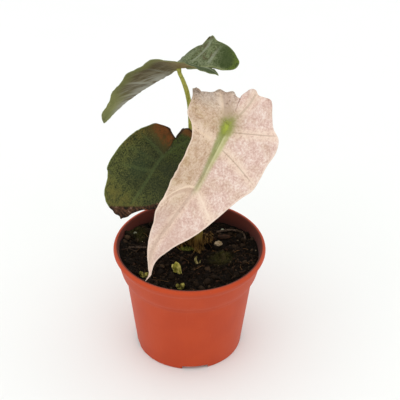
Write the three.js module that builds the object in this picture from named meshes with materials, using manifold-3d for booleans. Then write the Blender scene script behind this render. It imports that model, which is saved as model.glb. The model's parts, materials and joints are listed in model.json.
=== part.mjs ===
// A young potted alocasia: three arrow-shaped leaves on bare stalks, growing out of dark potting
// mix in a small round plastic nursery pot. Millimetres, +Z up. The origin is the centre of the
// pot's base, and -Y is the side the plant faces.
import * as THREE from 'three';
import { mergeVertices } from 'three/addons/utils/BufferGeometryUtils.js';
import Module from 'manifold-3d';

const wasm = await Module();
wasm.setup();

// Driving dimensions, in millimetres
const POT_HEIGHT = 46;
const RIM_RADIUS = 30;             // outside of the rolled lip
const MOUTH_RADIUS = 28;
const COLLAR_RADIUS = 27.2;        // lower end of the flared collar
const COLLAR_BOTTOM = 34.8;
const SHOULDER_RADIUS = 25.1;      // where the plain wall starts under the collar
const BASE_RADIUS = 20.9;
const WALL = 1;
const FLOOR = 2.4;
const DRAINS = 4;
const DRAIN_WIDTH = 10.4;
const DRAIN_DEPTH = 1.6;
const DRAIN_TURN = -1.44;          // first channel, radians round from +X
const DRAIN_HOLE_RADIUS = 2;
const SOIL_LEVEL = 39.8;
const CRUMB_HEIGHT = 1;
const GAP = 0.3;                   // between separate pieces that touch
const BLADE = 0.75;                // leaf thickness
const TAU = Math.PI * 2;

// Plain helpers
function seeded(seed) {
  let a = seed;
  return () => {
    a = (a + 0x6d2b79f5) | 0;
    let t = Math.imul(a ^ (a >>> 15), 1 | a);
    t = (t + Math.imul(t ^ (t >>> 7), 61 | t)) ^ t;
    return ((t ^ (t >>> 14)) >>> 0) / 4294967296;
  };
}

const mix = (a, b, k) => a + (b - a) * k;
const clamp = (x, lo, hi) => Math.min(hi, Math.max(lo, x));
const smooth = (x, lo, hi) => {
  const k = clamp((x - lo) / (hi - lo), 0, 1);
  return k * k * (3 - 2 * k);
};

// Smooth curve through the rows of a table [key, value, value, ...], with its slope if wanted.
function along(table, key, column, slope = false) {
  const n = table.length;
  let i = 0;
  while (i < n - 2 && key > table[i + 1][0]) i += 1;
  const step = (j) => table[j + 1][0] - table[j][0];
  const rise = (j) => (table[j + 1][column] - table[j][column]) / step(j);
  const tangent = (j) => {
    if (j === 0) return rise(0);
    if (j === n - 1) return rise(n - 2);
    return (rise(j) * step(j - 1) + rise(j - 1) * step(j)) / (step(j - 1) + step(j));
  };
  const h = step(i);
  const u = (key - table[i][0]) / h;
  const [p, q, mp, mq] = [table[i][column], table[i + 1][column], tangent(i), tangent(i + 1)];
  if (u < 0) return slope ? mp : p + mp * u * h;
  if (u > 1) return slope ? mq : q + mq * (u - 1) * h;
  if (slope) {
    return ((6 * u * u - 6 * u) * (p - q)) / h + (3 * u * u - 4 * u + 1) * mp + (3 * u * u - 2 * u) * mq;
  }
  return (2 * u ** 3 - 3 * u * u + 1) * p + (u ** 3 - 2 * u * u + u) * h * mp
    + (3 * u * u - 2 * u ** 3) * q + (u ** 3 - u * u) * h * mq;
}

// Same, but held level past both ends of the table.
const held = (table, key, column) =>
  along(table, clamp(key, table[0][0], table[table.length - 1][0]), column);

function meshOf(points, triangles) {
  const geometry = new THREE.BufferGeometry();
  geometry.setAttribute('position', new THREE.Float32BufferAttribute(points.flat(), 3));
  geometry.setIndex(triangles.flat());
  return geometry;
}

function bare(geometry) {
  const copy = geometry.clone();
  for (const name of ['normal', 'uv']) if (copy.attributes[name]) copy.deleteAttribute(name);
  return mergeVertices(copy, 1e-4);
}

function solid(geometry) {
  const g = bare(geometry);
  return new wasm.Manifold(new wasm.Mesh({
    numProp: 3,
    vertProperties: new Float32Array(g.attributes.position.array),
    triVerts: new Uint32Array(g.index.array),
  }));
}

function shell(body) {
  const m = body.getMesh();
  const geometry = new THREE.BufferGeometry();
  geometry.setAttribute('position', new THREE.BufferAttribute(new Float32Array(m.vertProperties), 3));
  geometry.setIndex(new THREE.BufferAttribute(new Uint32Array(m.triVerts), 1));
  return geometry;
}

const join = (list) => shell(list.map(solid).reduce((a, b) => a.add(b)));

// A stalk or strand: rings of a round or channelled section along a smooth path.
// Each row of the path is [x, y, z, radius].
function strand(rows, sides, steps, groove = () => 0) {
  const curve = new THREE.CatmullRomCurve3(rows.map((r) => new THREE.Vector3(r[0], r[1], r[2])));
  const frames = curve.computeFrenetFrames(steps, false);
  const points = [];
  const triangles = [];
  for (let i = 0; i <= steps; i += 1) {
    const u = i / steps;
    const centre = curve.getPointAt(u);
    const k = curve.getUtoTmapping(u) * (rows.length - 1);
    const j = Math.min(rows.length - 2, Math.floor(k));
    const radius = mix(rows[j][3], rows[j + 1][3], k - j);
    for (let a = 0; a < sides; a += 1) {
      const angle = (a / sides) * TAU;
      const r = radius * (1 - groove(u, angle));
      const p = centre.clone()
        .addScaledVector(frames.normals[i], r * Math.cos(angle))
        .addScaledVector(frames.binormals[i], r * Math.sin(angle));
      points.push([p.x, p.y, p.z]);
    }
  }
  for (let i = 0; i < steps; i += 1) {
    for (let a = 0; a < sides; a += 1) {
      const [p, q] = [i * sides + a, i * sides + (a + 1) % sides];
      triangles.push([p, q, q + sides], [p, q + sides, p + sides]);
    }
  }
  const ends = [curve.getPointAt(0), curve.getPointAt(1)];
  for (const end of ends) points.push([end.x, end.y, end.z]);
  const [first, last] = [points.length - 2, points.length - 1];
  for (let a = 0; a < sides; a += 1) {
    triangles.push([first, (a + 1) % sides, a]);
    triangles.push([last, steps * sides + a, steps * sides + (a + 1) % sides]);
  }
  return meshOf(points, triangles);
}

// Pot: one turned wall with a rolled lip and a flared collar, then radial drain channels
const wall = (z) => mix(BASE_RADIUS + 0.4, SHOULDER_RADIUS, (z - 1.5) / (COLLAR_BOTTOM - 3));
const POT_INSIDE = [                // [z, radius]
  [FLOOR, BASE_RADIUS - 0.8 - WALL], [FLOOR + 1, BASE_RADIUS + 0.3 - WALL], [18, wall(18) - WALL],
  [COLLAR_BOTTOM - 1.5, SHOULDER_RADIUS - WALL], [COLLAR_BOTTOM + 1, COLLAR_RADIUS - WALL],
  [42.3, MOUTH_RADIUS - 0.7], [POT_HEIGHT - 0.8, MOUTH_RADIUS],
];

function potInside(z) {
  const i = clamp(POT_INSIDE.findIndex((row) => row[0] > z), 1, POT_INSIDE.length - 1);
  const [p, q] = [POT_INSIDE[i - 1], POT_INSIDE[i]];
  return mix(p[1], q[1], (z - p[0]) / (q[0] - p[0]));
}

function makePot() {
  const outline = [
    [0, 0], [BASE_RADIUS - 0.6, 0], [BASE_RADIUS, 0.4], [BASE_RADIUS + 0.4, 1.5],
    [wall(18), 18], [wall(30), 30], [SHOULDER_RADIUS, COLLAR_BOTTOM - 1.5],
    [SHOULDER_RADIUS + 0.6, COLLAR_BOTTOM - 0.8], [COLLAR_RADIUS - 0.5, COLLAR_BOTTOM + 0.2],
    [COLLAR_RADIUS, COLLAR_BOTTOM + 1.6], [mix(COLLAR_RADIUS, RIM_RADIUS, 0.3), 40.2],
    [mix(COLLAR_RADIUS, RIM_RADIUS, 0.45), 42.2], [RIM_RADIUS - 0.5, 43.3], [RIM_RADIUS, 44.4],
    [RIM_RADIUS - 0.05, 45.3], [RIM_RADIUS - 0.4, POT_HEIGHT - 0.1], [RIM_RADIUS - 0.9, POT_HEIGHT],
    [MOUTH_RADIUS + 0.2, POT_HEIGHT - 0.15], ...POT_INSIDE.map(([z, r]) => [r, z]).reverse(), [0, FLOOR],
  ];
  const turned = new THREE.LatheGeometry(outline.map(([r, z]) => new THREE.Vector2(r, z)), 48);
  let pot = solid(turned.rotateX(Math.PI / 2));
  for (let i = 0; i < DRAINS; i += 1) {
    const angle = (i / DRAINS) * TAU + DRAIN_TURN;
    const channel = new THREE.BoxGeometry(10, DRAIN_WIDTH, 2 * DRAIN_DEPTH);
    channel.translate(BASE_RADIUS - 2.5, 0, 0).rotateZ(angle);
    const hole = new THREE.CylinderGeometry(DRAIN_HOLE_RADIUS, DRAIN_HOLE_RADIUS, 8, 14);
    hole.rotateX(Math.PI / 2).translate(BASE_RADIUS - 4.6, 0, 0).rotateZ(angle);
    pot = pot.subtract(solid(channel)).subtract(solid(hole));
  }
  return shell(pot);
}

// Soil: a filled plug with a crumbly top, level seats for what lies on it, and plain stem holes
function crumbs(x, y, cell, seed) {
  const corner = (i, j) => seeded(seed + i * 7349 + j * 1931)();
  const [i, j] = [Math.floor(x / cell), Math.floor(y / cell)];
  const [u, v] = [smooth(x / cell - i, 0, 1), smooth(y / cell - j, 0, 1)];
  return mix(mix(corner(i, j), corner(i + 1, j), u), mix(corner(i, j + 1), corner(i + 1, j + 1), u), v);
}

// Banked up at the two sides of the pot.
const soilBase = (x, y) => SOIL_LEVEL + 0.0046 * x * x - 0.6 * smooth(y, 8, 24);

// Level seats [x, y, radius]: bits that lie on the mix rest on these.
const SEATS = {
  granule: [11.3, 7, 1.9],
  perliteLeft: [-22, 12.2, 1.2],
  perliteBack: [13.2, 17.4, 1.2],
  curl: [3.2, -2.6, 1.6],
  bark: [13.8, 11.9, 3],
  moss: [-1, 5, 2.1],
  sprout: [-4.2, -9.2, 2.2],
  rimShoot: [-3.4, -19.4, 2.4],
  leftShoot: [-17.6, -14, 2.6],
};

const seatLevel = ([x, y]) => soilBase(x, y) + 0.25;

function soilTop(x, y) {
  const rough = 0.65 * crumbs(x, y, 3.1, 11) + 0.35 * crumbs(x, y, 1.7, 57);
  let z = soilBase(x, y) + CRUMB_HEIGHT * (2 * rough - 1);
  for (const seat of Object.values(SEATS)) {
    const away = Math.hypot(x - seat[0], y - seat[1]);
    z = mix(seatLevel(seat), z, smooth(away, seat[2] + 0.6, seat[2] + 2.4));
  }
  return z;
}

function makeSoil(stems) {
  const [rings, spokes] = [15, 48];
  const inside = (z) => potInside(z) - GAP - 0.05;
  const points = [[0, 0, soilTop(0, 0)]];
  const triangles = [];
  const row = (k) => 1 + k * spokes;
  for (let k = 1; k <= rings; k += 1) {
    for (let a = 0; a < spokes; a += 1) {
      const angle = ((a + (k % 2) / 2) / spokes) * TAU;
      const edge = inside(soilBase(27 * Math.cos(angle), 27 * Math.sin(angle)) - CRUMB_HEIGHT);
      const r = edge * (k / rings) ** 0.85;
      const [x, y] = [r * Math.cos(angle), r * Math.sin(angle)];
      points.push([x, y, soilTop(x, y)]);
    }
  }
  const levels = [COLLAR_BOTTOM + 1, COLLAR_BOTTOM - 1.5, FLOOR + 1.5];
  const sides = [...levels.map((z) => [inside(z), z]), [inside(FLOOR) - 0.3, FLOOR + GAP]];
  for (const [r, z] of sides) {
    for (let a = 0; a < spokes; a += 1) {
      const angle = ((a + 0.5) / spokes) * TAU;
      points.push([r * Math.cos(angle), r * Math.sin(angle), z]);
    }
  }
  points.push([0, 0, FLOOR + GAP]);
  const last = rings + sides.length - 1;
  for (let a = 0; a < spokes; a += 1) {
    const b = (a + 1) % spokes;
    triangles.push([0, row(0) + a, row(0) + b], [points.length - 1, row(last) + b, row(last) + a]);
    for (let k = 0; k < last; k += 1) {
      const [p, q, r, t] = [row(k) + a, row(k) + b, row(k + 1) + a, row(k + 1) + b];
      if (k % 2 === 1 && k < rings) triangles.push([p, r, q], [q, r, t]);
      else triangles.push([p, r, t], [p, t, q]);
    }
  }
  let soil = solid(meshOf(points, triangles));
  for (const [x, y, radius, bottom] of stems) {
    const hole = new THREE.CylinderGeometry(radius + GAP, radius + GAP, 20, 16);
    soil = soil.subtract(solid(hole.rotateX(Math.PI / 2).translate(x, y, bottom - GAP + 10)));
  }
  return shell(soil);
}

// Leaves
//
// A blade hangs on a rib: a smooth line in space with rows [s, x, y, z], where s is the distance
// along it from the stalk, above 0 towards the tip and below 0 towards the cleft. At each s the
// two halves leave the rib at their own lift above level (degrees), and curl evenly as they go.
// Right and left are as seen from above with the tip ahead.
function bladePoint(leaf, s, t) {
  const at = (slope) => new THREE.Vector3(...[1, 2, 3].map((c) => along(leaf.rib, s, c, slope)));
  const ahead = at(true).normalize();
  const up = new THREE.Vector3(...leaf.up);
  up.addScaledVector(ahead, -up.dot(ahead)).normalize();
  const out = new THREE.Vector3().crossVectors(ahead, up).multiplyScalar(t < 0 ? -1 : 1);
  const lift = THREE.MathUtils.degToRad(held(leaf.lift, s, t < 0 ? 2 : 1));
  const curl = THREE.MathUtils.degToRad(held(leaf.curl, s, t < 0 ? 2 : 1)) / 20 || 1e-7;
  const level = out.clone().multiplyScalar(Math.cos(lift)).addScaledVector(up, Math.sin(lift));
  const rise = up.clone().multiplyScalar(Math.cos(lift)).addScaledVector(out, -Math.sin(lift));
  const turn = curl * Math.abs(t);
  return at(false).addScaledVector(level, Math.sin(turn) / curl)
    .addScaledVector(rise, (1 - Math.cos(turn)) / curl);
}

// Rows of leaf.veins: [where the line leaves the rib, right end s, t, left end s, t, vein strength].
// The blade is spun from these lines, with points between the rows, and is split into the same
// triangles on both faces. Veins stand out of the underside, and the blade swells between them.
function leafBlade(leaf) {
  const rows = leaf.veins.map((row, i) => [i, ...row]);
  const count = (rows.length - 1) * leaf.between;
  const flat = [];
  const relief = [];
  const index = new Map();
  const triangles = [];
  const vertex = (s, t, top, under, push) => {
    const name = `${s.toFixed(3)} ${t.toFixed(3)}`;
    if (!index.has(name)) {
      index.set(name, flat.length);
      flat.push([s, t, push]);
      relief.push([top, under]);
    }
    return index.get(name);
  };
  const line = (side, j) => {
    const i = j / leaf.between;
    const start = Math.max(0, along(rows, i, 1));
    const end = [along(rows, i, side > 0 ? 2 : 4), Math.max(0, along(rows, i, side > 0 ? 3 : 5))];
    const row = Math.round(i);
    const vein = Math.abs(i - row) < 0.01 ? rows[row][6] : 0;
    const swell = Math.sin(Math.PI * (i - Math.floor(i)));
    return leaf.rings.map((f) => {
      const s = start + (end[0] - start) * f ** 1.25;
      const rib = f === 0 ? leaf.ribHeight * smooth(leaf.ribEnd - start, 0, leaf.ribEnd) : 0;
      const fade = vein * (1 - 0.75 * f);
      const wave = leaf.wave * f ** 3 * Math.sin(leaf.waves * i + side) * smooth(count - j, 0, count / 4);
      const push = wave + leaf.swell * (1 - vein) * swell * Math.sin(Math.PI * f ** 0.8);
      const under = f === 0 ? rib + 0.15 : 0.4 * fade;
      return vertex(s, side * end[1] * f, f === 0 ? rib : -0.08 * fade, under, push);
    });
  };
  for (const side of [1, -1]) {
    let last = line(side, 0);
    for (let j = 1; j <= count; j += 1) {
      const next = line(side, j);
      for (let k = 0; k < next.length - 1; k += 1) {
        const quad = [[last[k], next[k], next[k + 1]], [last[k], next[k + 1], last[k + 1]]];
        for (const [p, q, r] of quad) {
          if (p === q || q === r || r === p) continue;
          triangles.push(side > 0 ? [p, r, q] : [p, q, r]);
        }
      }
      last = next;
    }
  }
  const middle = meshOf(flat.map(([s, t]) => bladePoint(leaf, s, t).toArray()), triangles);
  middle.computeVertexNormals();
  const { position, normal } = middle.attributes;
  const raised = (sign, height) => flat.map((_, i) => [0, 1, 2].map((c) =>
    position.array[3 * i + c] + normal.array[3 * i + c] * (flat[i][2] + sign * height(i))));
  const top = raised(1, (i) => BLADE / 2 + relief[i][0]);
  const under = raised(-1, (i) => BLADE / 2 + relief[i][1]);
  const n = flat.length;
  const edges = new Map();
  for (const tri of triangles) {
    tri.forEach((p, k) => {
      const q = tri[(k + 1) % 3];
      if (!edges.delete(`${q} ${p}`)) edges.set(`${p} ${q}`, [p, q]);
    });
  }
  const rim = [...edges.values()].flatMap(([p, q]) => [[p, p + n, q + n], [p, q + n, q]]);
  return meshOf([...top, ...under], [
    ...triangles, ...triangles.map(([p, q, r]) => [p + n, r + n, q + n]), ...rim,
  ]);
}

const RINGS = [0, 0.05, 0.17, 0.34, 0.52, 0.7, 0.86, 1];

const PINK_LEAF = {
  rib: [[-24, 19.5, 6, 121.5], [-10, 17.6, 0.2, 112.8], [0, 14.3, -4, 105.5], [14, 8.1, -10.8, 95],
    [28, 1.9, -16.6, 84], [42, -6, -20.6, 73], [56, -13.2, -22.6, 61], [64.5, -14.6, -23, 52.8],
    [68.3, -14.9, -23.2, 49.6], [71.2, -16.3, -23.2, 47.2]],
  up: [-0.15, -0.8, 0.6],
  lift: [[-24, 6, 2], [-8, 10, 4], [2, 26, 5], [12, 44, 6.5], [22, 46, 8.5], [36, 40, 11], [50, 38, 14],
    [71, 30, 14]],
  curl: [[-24, -10, -10], [0, 8, -6], [20, 14, -4], [71, 10, 0]],
  veins: [
    [0, -12.2, 0, -12.2, 0, 0], [0, -15.2, 3, -15.6, 1.8, 0], [0, -14.1, 6.6, -17.2, 4.6, 1],
    [0, -12.2, 10.4, -15.4, 8.5, 0], [0, -9.5, 14.6, -13.6, 12, 0], [0, -10.4, 17.2, -8.6, 13.6, 0],
    [0, -5, 16.8, -4.9, 16.6, 0], [0, -0.6, 17, -2, 19.2, 1], [0.5, 3, 16.4, 1.8, 20.4, 0],
    [2.5, 6.6, 14.6, 7, 18.8, 0], [6.5, 11.4, 12.6, 12.4, 19.8, 0], [10.5, 15.6, 12.2, 17.5, 19.4, 1],
    [16, 20.6, 13.7, 22.4, 16.3, 0], [21, 26, 12.8, 27.4, 14.2, 0], [27, 34, 10, 34, 11.9, 1],
    [34, 40, 9.9, 41, 9.7, 0], [41, 46, 6.6, 47.5, 6.9, 0], [48, 52.4, 3.8, 54, 4.6, 0.6],
    [56, 58.7, 2, 60.2, 1.9, 0], [63, 64.5, 0.8, 65, 0.8, 0], [71.2, 71.8, 0, 71.8, 0, 0],
  ],
  between: 2,
  rings: RINGS,
  ribHeight: 0.7,
  ribEnd: 44,
  wave: 0.7,
  waves: 2.1,
  swell: 0.25,
};

const TOP_LEAF = {
  rib: [[-25.2, 18.2, -1.5, 124.6], [-13.3, 8.3, 2.2, 126], [-5.1, 0.4, 4.3, 124.8], [0, -4.5, 5, 124.3],
    [6.3, -9.2, 6, 121], [14, -14.3, 8, 116], [23.4, -20.6, 10.8, 109.6], [32.5, -26.3, 13.4, 102.8],
    [40.6, -30.8, 15.6, 96.1], [45.3, -33.4, 17, 92.3]],
  up: [-0.3, 0.35, 0.75],
  lift: [[-26, 50, -4], [-14, 48, 6], [-9, 42, 16], [-5, 30, 22], [0, 14, 24], [8, 8, 32], [30, 16, 35],
    [46, 20, 30]],
  curl: [[-26, 0, 0], [46, 0, 0]],
  veins: [
    [0, -13, 0, -13, 0, 0], [0, -18, 0.5, -14.6, 0.8, 0], [0, -21.4, 2.6, -16.4, 3, 0.6],
    [0, -22, 5, -18, 5.8, 0], [0, -19.2, 7.6, -17.4, 8, 0], [0, -16.4, 10, -15.6, 10.4, 0.4],
    [0, -12.6, 11.6, -12.4, 12.4, 0], [0, -10.4, 14.4, -8.6, 12.8, 1], [0, -7.6, 12, -5, 13, 0],
    [0, -3.8, 10.8, -1.4, 13, 0], [0, 0.8, 11.6, 2, 13, 1], [2, 5, 12.6, 6, 12.2, 0],
    [5, 9, 12.2, 10, 12.2, 0], [8.5, 14, 12.2, 15, 12, 1], [12.5, 18, 10.8, 19.5, 10.4, 0],
    [17, 22.5, 9.8, 24.5, 9.4, 0], [21.5, 27, 8.4, 28.5, 7.9, 1], [26.5, 31, 6.6, 32, 5.9, 0],
    [31.5, 35, 5.2, 36, 5.1, 0], [36, 39, 4, 40, 4.1, 0.6], [41, 42.6, 2, 43.2, 2.2, 0],
    [45.3, 45.6, 0, 45.6, 0, 0],
  ],
  between: 2,
  rings: RINGS,
  ribHeight: 0.35,
  ribEnd: 46,
  wave: 0.5,
  waves: 2.1,
  swell: 0.3,
};

const LEFT_LEAF = {
  rib: [[-17, -2.2, 12.6, 97.6], [-7, -5.6, 8.6, 91.6], [-0.6, -8.9, 5.4, 86.9], [3.6, -11.6, 3.6, 84.1],
    [12.2, -16.1, 0.2, 77.5], [18.6, -19.5, -2.4, 72.6], [26.1, -23.7, -4.2, 66.8],
    [31.1, -26.2, -5, 62.6]],
  up: [-0.25, -0.45, 0.86],
  lift: [[-17, 12, 12], [-5, 12, 12], [31, 12, 6]],
  curl: [[-17, -10, -14], [31, -10, -10]],
  veins: [
    [0, -6.7, 0, -6.7, 0, 0], [0, -7.9, 2.2, -8.9, 1.2, 0], [0, -9.3, 3.8, -11.7, 0.6, 0],
    [0, -9.3, 5.6, -13.2, 4, 0.6], [0, -8.9, 7.5, -12, 7.6, 0.6], [0, -8.3, 9.8, -10.9, 11.2, 0],
    [0, -6.3, 11.3, -9.1, 14.4, 0], [0, -3.6, 13, -6.2, 16.2, 0], [0, 0.3, 15, -2.6, 16.2, 1],
    [0, 2.7, 16.4, 0, 15.5, 0], [1, 5.2, 17.6, 3.6, 15, 0], [3, 8.4, 18.2, 7.4, 15.4, 1],
    [5.5, 12, 18.4, 11, 15.3, 0], [8.5, 15.8, 17.5, 14, 14, 0], [12, 20, 15.8, 16.6, 12.3, 1],
    [15.5, 24, 14.2, 19, 9.4, 0], [19, 27.6, 12.2, 21.6, 6.2, 0], [22.5, 29.8, 10.2, 24.6, 3.8, 0.6],
    [26, 30.7, 7.6, 27.4, 2.2, 0], [29, 31.1, 4, 29.6, 1, 0], [31.1, 31.1, 0, 31.1, 0, 0],
  ],
  between: 2,
  rings: RINGS,
  ribHeight: 0.3,
  ribEnd: 31,
  wave: 0.5,
  waves: 2.3,
  swell: 0.3,
};

// Stalks: the last stretch meets its blade's underside square on
const BASES = { pink: [3.2, 5.8], top: [0.6, 10.5], left: [-4.2, 8.8] };
const STEM_FOOT = 31;

function stalk(leaf, rows, tip) {
  const at = (s, t) => bladePoint(leaf, s, t);
  const normal = at(1, 0).sub(at(-1, 0)).cross(at(0, 1).sub(at(0, -1))).negate().normalize();
  if (normal.dot(new THREE.Vector3(...leaf.up)) < 0) normal.negate();
  const below = (d) => at(0, 0).addScaledVector(normal, -d).toArray();
  const start = BLADE / 2 + leaf.ribHeight + 0.15 + GAP + 0.1;
  const path = [...rows, [...below(start + 1.2), tip], [...below(start), tip * 1.1]];
  // a shallow channel runs up the side that faces the middle of the plant
  const channel = (u, angle) => 0.3 * Math.exp(-(((angle - Math.PI) / 0.6) ** 2)) * smooth(0.6 - u, 0, 0.5);
  return strand(path, 10, 18, channel);
}

const STALKS = {
  stalk_pink: stalk(PINK_LEAF, [[...BASES.pink, STEM_FOOT, 1.9], [3.4, 6.4, 46, 1.7], [5.4, 8.2, 66, 1.35],
    [9.6, 7.4, 86, 1.2], [13.2, 3.4, 98, 1.15]], 1.1),
  stalk_top: stalk(TOP_LEAF, [[...BASES.top, STEM_FOOT, 1.9], [0.6, 10.4, 46, 1.6], [0.5, 10.3, 66, 1.25],
    [0.3, 10.4, 84, 0.95], [0, 10.1, 95, 0.85], [-0.4, 8.8, 105, 0.85], [-1.4, 7.5, 112.4, 0.9],
    [-2.9, 6.3, 118.2, 1]], 1.05),
  stalk_left: stalk(LEFT_LEAF, [[...BASES.left, STEM_FOOT, 1.8], [-4, 9.6, 46, 1.5],
    [-4.4, 11, 64, 1.15], [-6.4, 10.4, 77, 1]], 0.9),
};

// Crown: the short brown rhizome beside the stalks, with fibres of old leaf bases
const CROWN = [6.4, 11.6];
const CROWN_RADIUS = 2.7;

function makeCrown() {
  const [x, y] = CROWN;
  const random = seeded(83);
  const stub = strand([[x, y, STEM_FOOT, 2.2], [x, y, 36, CROWN_RADIUS], [x, y, 42.4, CROWN_RADIUS],
    [x - 0.2, y - 0.2, 44.2, 1.5], [x - 0.4, y - 0.3, 44.9, 0.5]], 10, 8);
  const fibres = [];
  for (let i = 0; i < 9; i += 1) {
    const angle = 3 + (i / 9) * 3 + 0.3 * random();
    const reach = 3.1 + 0.4 * random();
    const [ex, ey] = [x + reach * Math.cos(angle), y + reach * Math.sin(angle)];
    fibres.push(strand([
      [x + 0.6 * Math.cos(angle), y + 0.6 * Math.sin(angle), 42.6, 0.42],
      [mix(x, ex, 0.55), mix(y, ey, 0.55), 44.4 + 1.4 * random(), 0.36],
      [ex, ey, soilBase(ex, ey) + CRUMB_HEIGHT + 0.75, 0.26],
    ], 4, 4));
  }
  return join([stub, ...fibres]);
}

// What lies on the mix
const onSoil = (x, y, radius) => [x, y, soilBase(x, y) + CRUMB_HEIGHT + GAP + radius, radius];
const lyingRoot = (points, radius) => strand(points.map(([x, y], i) =>
  onSoil(x, y, radius * (1 - 0.4 * (i / points.length)))), 6, 12);

function pebble(seat, size, detail, seed, rough = 0.16) {
  const random = seeded(seed);
  const geometry = bare(new THREE.IcosahedronGeometry(1, detail));
  const { position } = geometry.attributes;
  for (let i = 0; i < position.count; i += 1) {
    const k = 1 + rough * (2 * random() - 1);
    position.setXYZ(i, position.getX(i) * k * size[0], position.getY(i) * k * size[1],
      Math.max(-0.62, position.getZ(i) * k) * size[2]);
  }
  return geometry.translate(seat[0], seat[1], seatLevel(seat) + GAP + 0.62 * size[2]);
}

// A young shoot: plump folded lobes, each [lean x, lean y, height, radius], from one level foot.
function shoot(seat, lobes, foot) {
  const z = seatLevel(seat) + GAP;
  return join(lobes.map(([dx, dy, height, radius]) => strand([
    [seat[0], seat[1], z, foot], [seat[0] + 0.25 * dx, seat[1] + 0.25 * dy, z + 0.3 * height, 0.9 * radius],
    [seat[0] + 0.65 * dx, seat[1] + 0.65 * dy, z + 0.7 * height, radius],
    [seat[0] + dx, seat[1] + dy, z + height, 0.3 * radius],
  ], 7, 6)));
}

const group = new THREE.Group();
const LOOKS = {                    // [colour, roughness]
  pot: ['#b54a2c', 0.45],
  soil: ['#1c140e', 0.95],
  pink: ['#dcc3b4', 0.6],
  green: ['#55603f', 0.5],
  dark: ['#3c4526', 0.45],
  stalk: ['#8f9440', 0.45],
  crown: ['#6e4a28', 0.9],
  root: ['#4a3424', 0.85],
  shoot: ['#a8a648', 0.5],
  moss: ['#5c6a1e', 0.95],
  granule: ['#b39a78', 0.9],
  perlite: ['#cfd3bf', 0.85],
  bark: ['#3c261a', 0.9],
};

function place(name, geometry, look) {
  const [color, roughness] = LOOKS[look];
  const material = new THREE.MeshStandardMaterial({ color, roughness, metalness: 0 });
  const mesh = new THREE.Mesh(geometry, material);
  mesh.name = name;
  group.add(mesh);
}

place('pot', makePot(), 'pot');
place('soil', makeSoil([
  [...BASES.pink, 2, STEM_FOOT], [...BASES.top, 2, STEM_FOOT], [...BASES.left, 1.9, STEM_FOOT],
  [...CROWN, CROWN_RADIUS + 0.1, STEM_FOOT],
]), 'soil');
place('leaf_pink', leafBlade(PINK_LEAF), 'pink');
place('leaf_top', leafBlade(TOP_LEAF), 'green');
place('leaf_left', leafBlade(LEFT_LEAF), 'dark');
for (const [name, geometry] of Object.entries(STALKS)) place(name, geometry, 'stalk');
place('crown', makeCrown(), 'crown');
place('root_right', lyingRoot([[10.8, 15.6], [14.6, 16.4], [18.4, 15.4], [21.4, 12.6], [22.2, 8.6]], 0.5), 'root');
place('root_left', lyingRoot([[-24, 0.6], [-20.6, 2.8], [-16.6, 3.6], [-12.6, 2.8]], 0.42), 'root');
place('shoot_front', shoot(SEATS.sprout, [[-1.4, 1.2, 4.6, 1.15], [0.9, -1.2, 3, 1.05]], 0.9), 'shoot');
place('shoot_rim', shoot(SEATS.rimShoot, [[-1.2, 0.2, 2.2, 0.95], [1.1, 0.4, 2.4, 1]], 0.8), 'shoot');
place('shoot_left', shoot(SEATS.leftShoot, [[-1.3, 0.6, 2.2, 1], [1.4, 0.2, 2, 0.9]], 0.8), 'shoot');
place('shoot_curl', shoot(SEATS.curl, [[-0.9, 0.9, 2.9, 0.6], [0.8, -0.4, 1.3, 0.5]], 0.6), 'shoot');
place('moss', pebble(SEATS.moss, [1.8, 1.7, 0.9], 2, 5, 0.22), 'moss');
place('granule', pebble(SEATS.granule, [1.5, 1.35, 1.25], 1, 9), 'granule');
place('perlite_left', pebble(SEATS.perliteLeft, [0.9, 0.8, 0.75], 1, 14), 'perlite');
place('perlite_back', pebble(SEATS.perliteBack, [0.9, 0.85, 0.7], 1, 21), 'perlite');
place('bark', pebble(SEATS.bark, [2.6, 1.4, 0.8], 1, 33, 0.2), 'bark');

export default group;
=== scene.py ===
"""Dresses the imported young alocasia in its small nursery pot: finer blades with veins, a skinned
stalk for each, a crumbly potting mix with fibres and chips, and a moulded plastic pot."""
import json
import math

import bmesh
import bpy
import numpy as np
from mathutils import Matrix, Vector

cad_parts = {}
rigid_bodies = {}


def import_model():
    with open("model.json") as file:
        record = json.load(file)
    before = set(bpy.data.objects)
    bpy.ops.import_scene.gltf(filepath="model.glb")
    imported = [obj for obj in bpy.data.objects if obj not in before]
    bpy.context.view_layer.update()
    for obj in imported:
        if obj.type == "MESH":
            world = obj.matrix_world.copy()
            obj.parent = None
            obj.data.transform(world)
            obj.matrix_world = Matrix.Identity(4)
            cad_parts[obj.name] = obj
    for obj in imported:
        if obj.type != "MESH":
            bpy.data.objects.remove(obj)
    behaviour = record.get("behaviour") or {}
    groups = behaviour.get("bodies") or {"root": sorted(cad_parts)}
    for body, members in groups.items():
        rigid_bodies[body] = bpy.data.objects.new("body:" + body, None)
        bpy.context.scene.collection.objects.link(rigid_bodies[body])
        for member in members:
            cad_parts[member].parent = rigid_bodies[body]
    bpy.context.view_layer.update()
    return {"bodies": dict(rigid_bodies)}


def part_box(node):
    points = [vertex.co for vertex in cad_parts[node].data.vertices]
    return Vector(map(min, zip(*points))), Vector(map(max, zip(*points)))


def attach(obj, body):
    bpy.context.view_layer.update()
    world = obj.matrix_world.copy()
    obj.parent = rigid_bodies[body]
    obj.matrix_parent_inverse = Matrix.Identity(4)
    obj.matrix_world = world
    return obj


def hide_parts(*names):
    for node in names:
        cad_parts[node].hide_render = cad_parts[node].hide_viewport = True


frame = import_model()

MM = 0.001
BODY = next(iter(frame["bodies"]))


def placed(name, data):
    """A new object in the scene."""
    made = bpy.data.objects.new(name, data)
    bpy.context.scene.collection.objects.link(made)
    return made


# Camera: the photograph's own angle, in millimetres and degrees

AIM = (3.9, 0.0, 68.4)
DISTANCE = 600.0
ELEVATION = 35.7
ROLL = 0.66
LENS = 140.13
SENSOR = 36.0
NEAR, FAR = 0.01, 10               # metres


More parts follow.
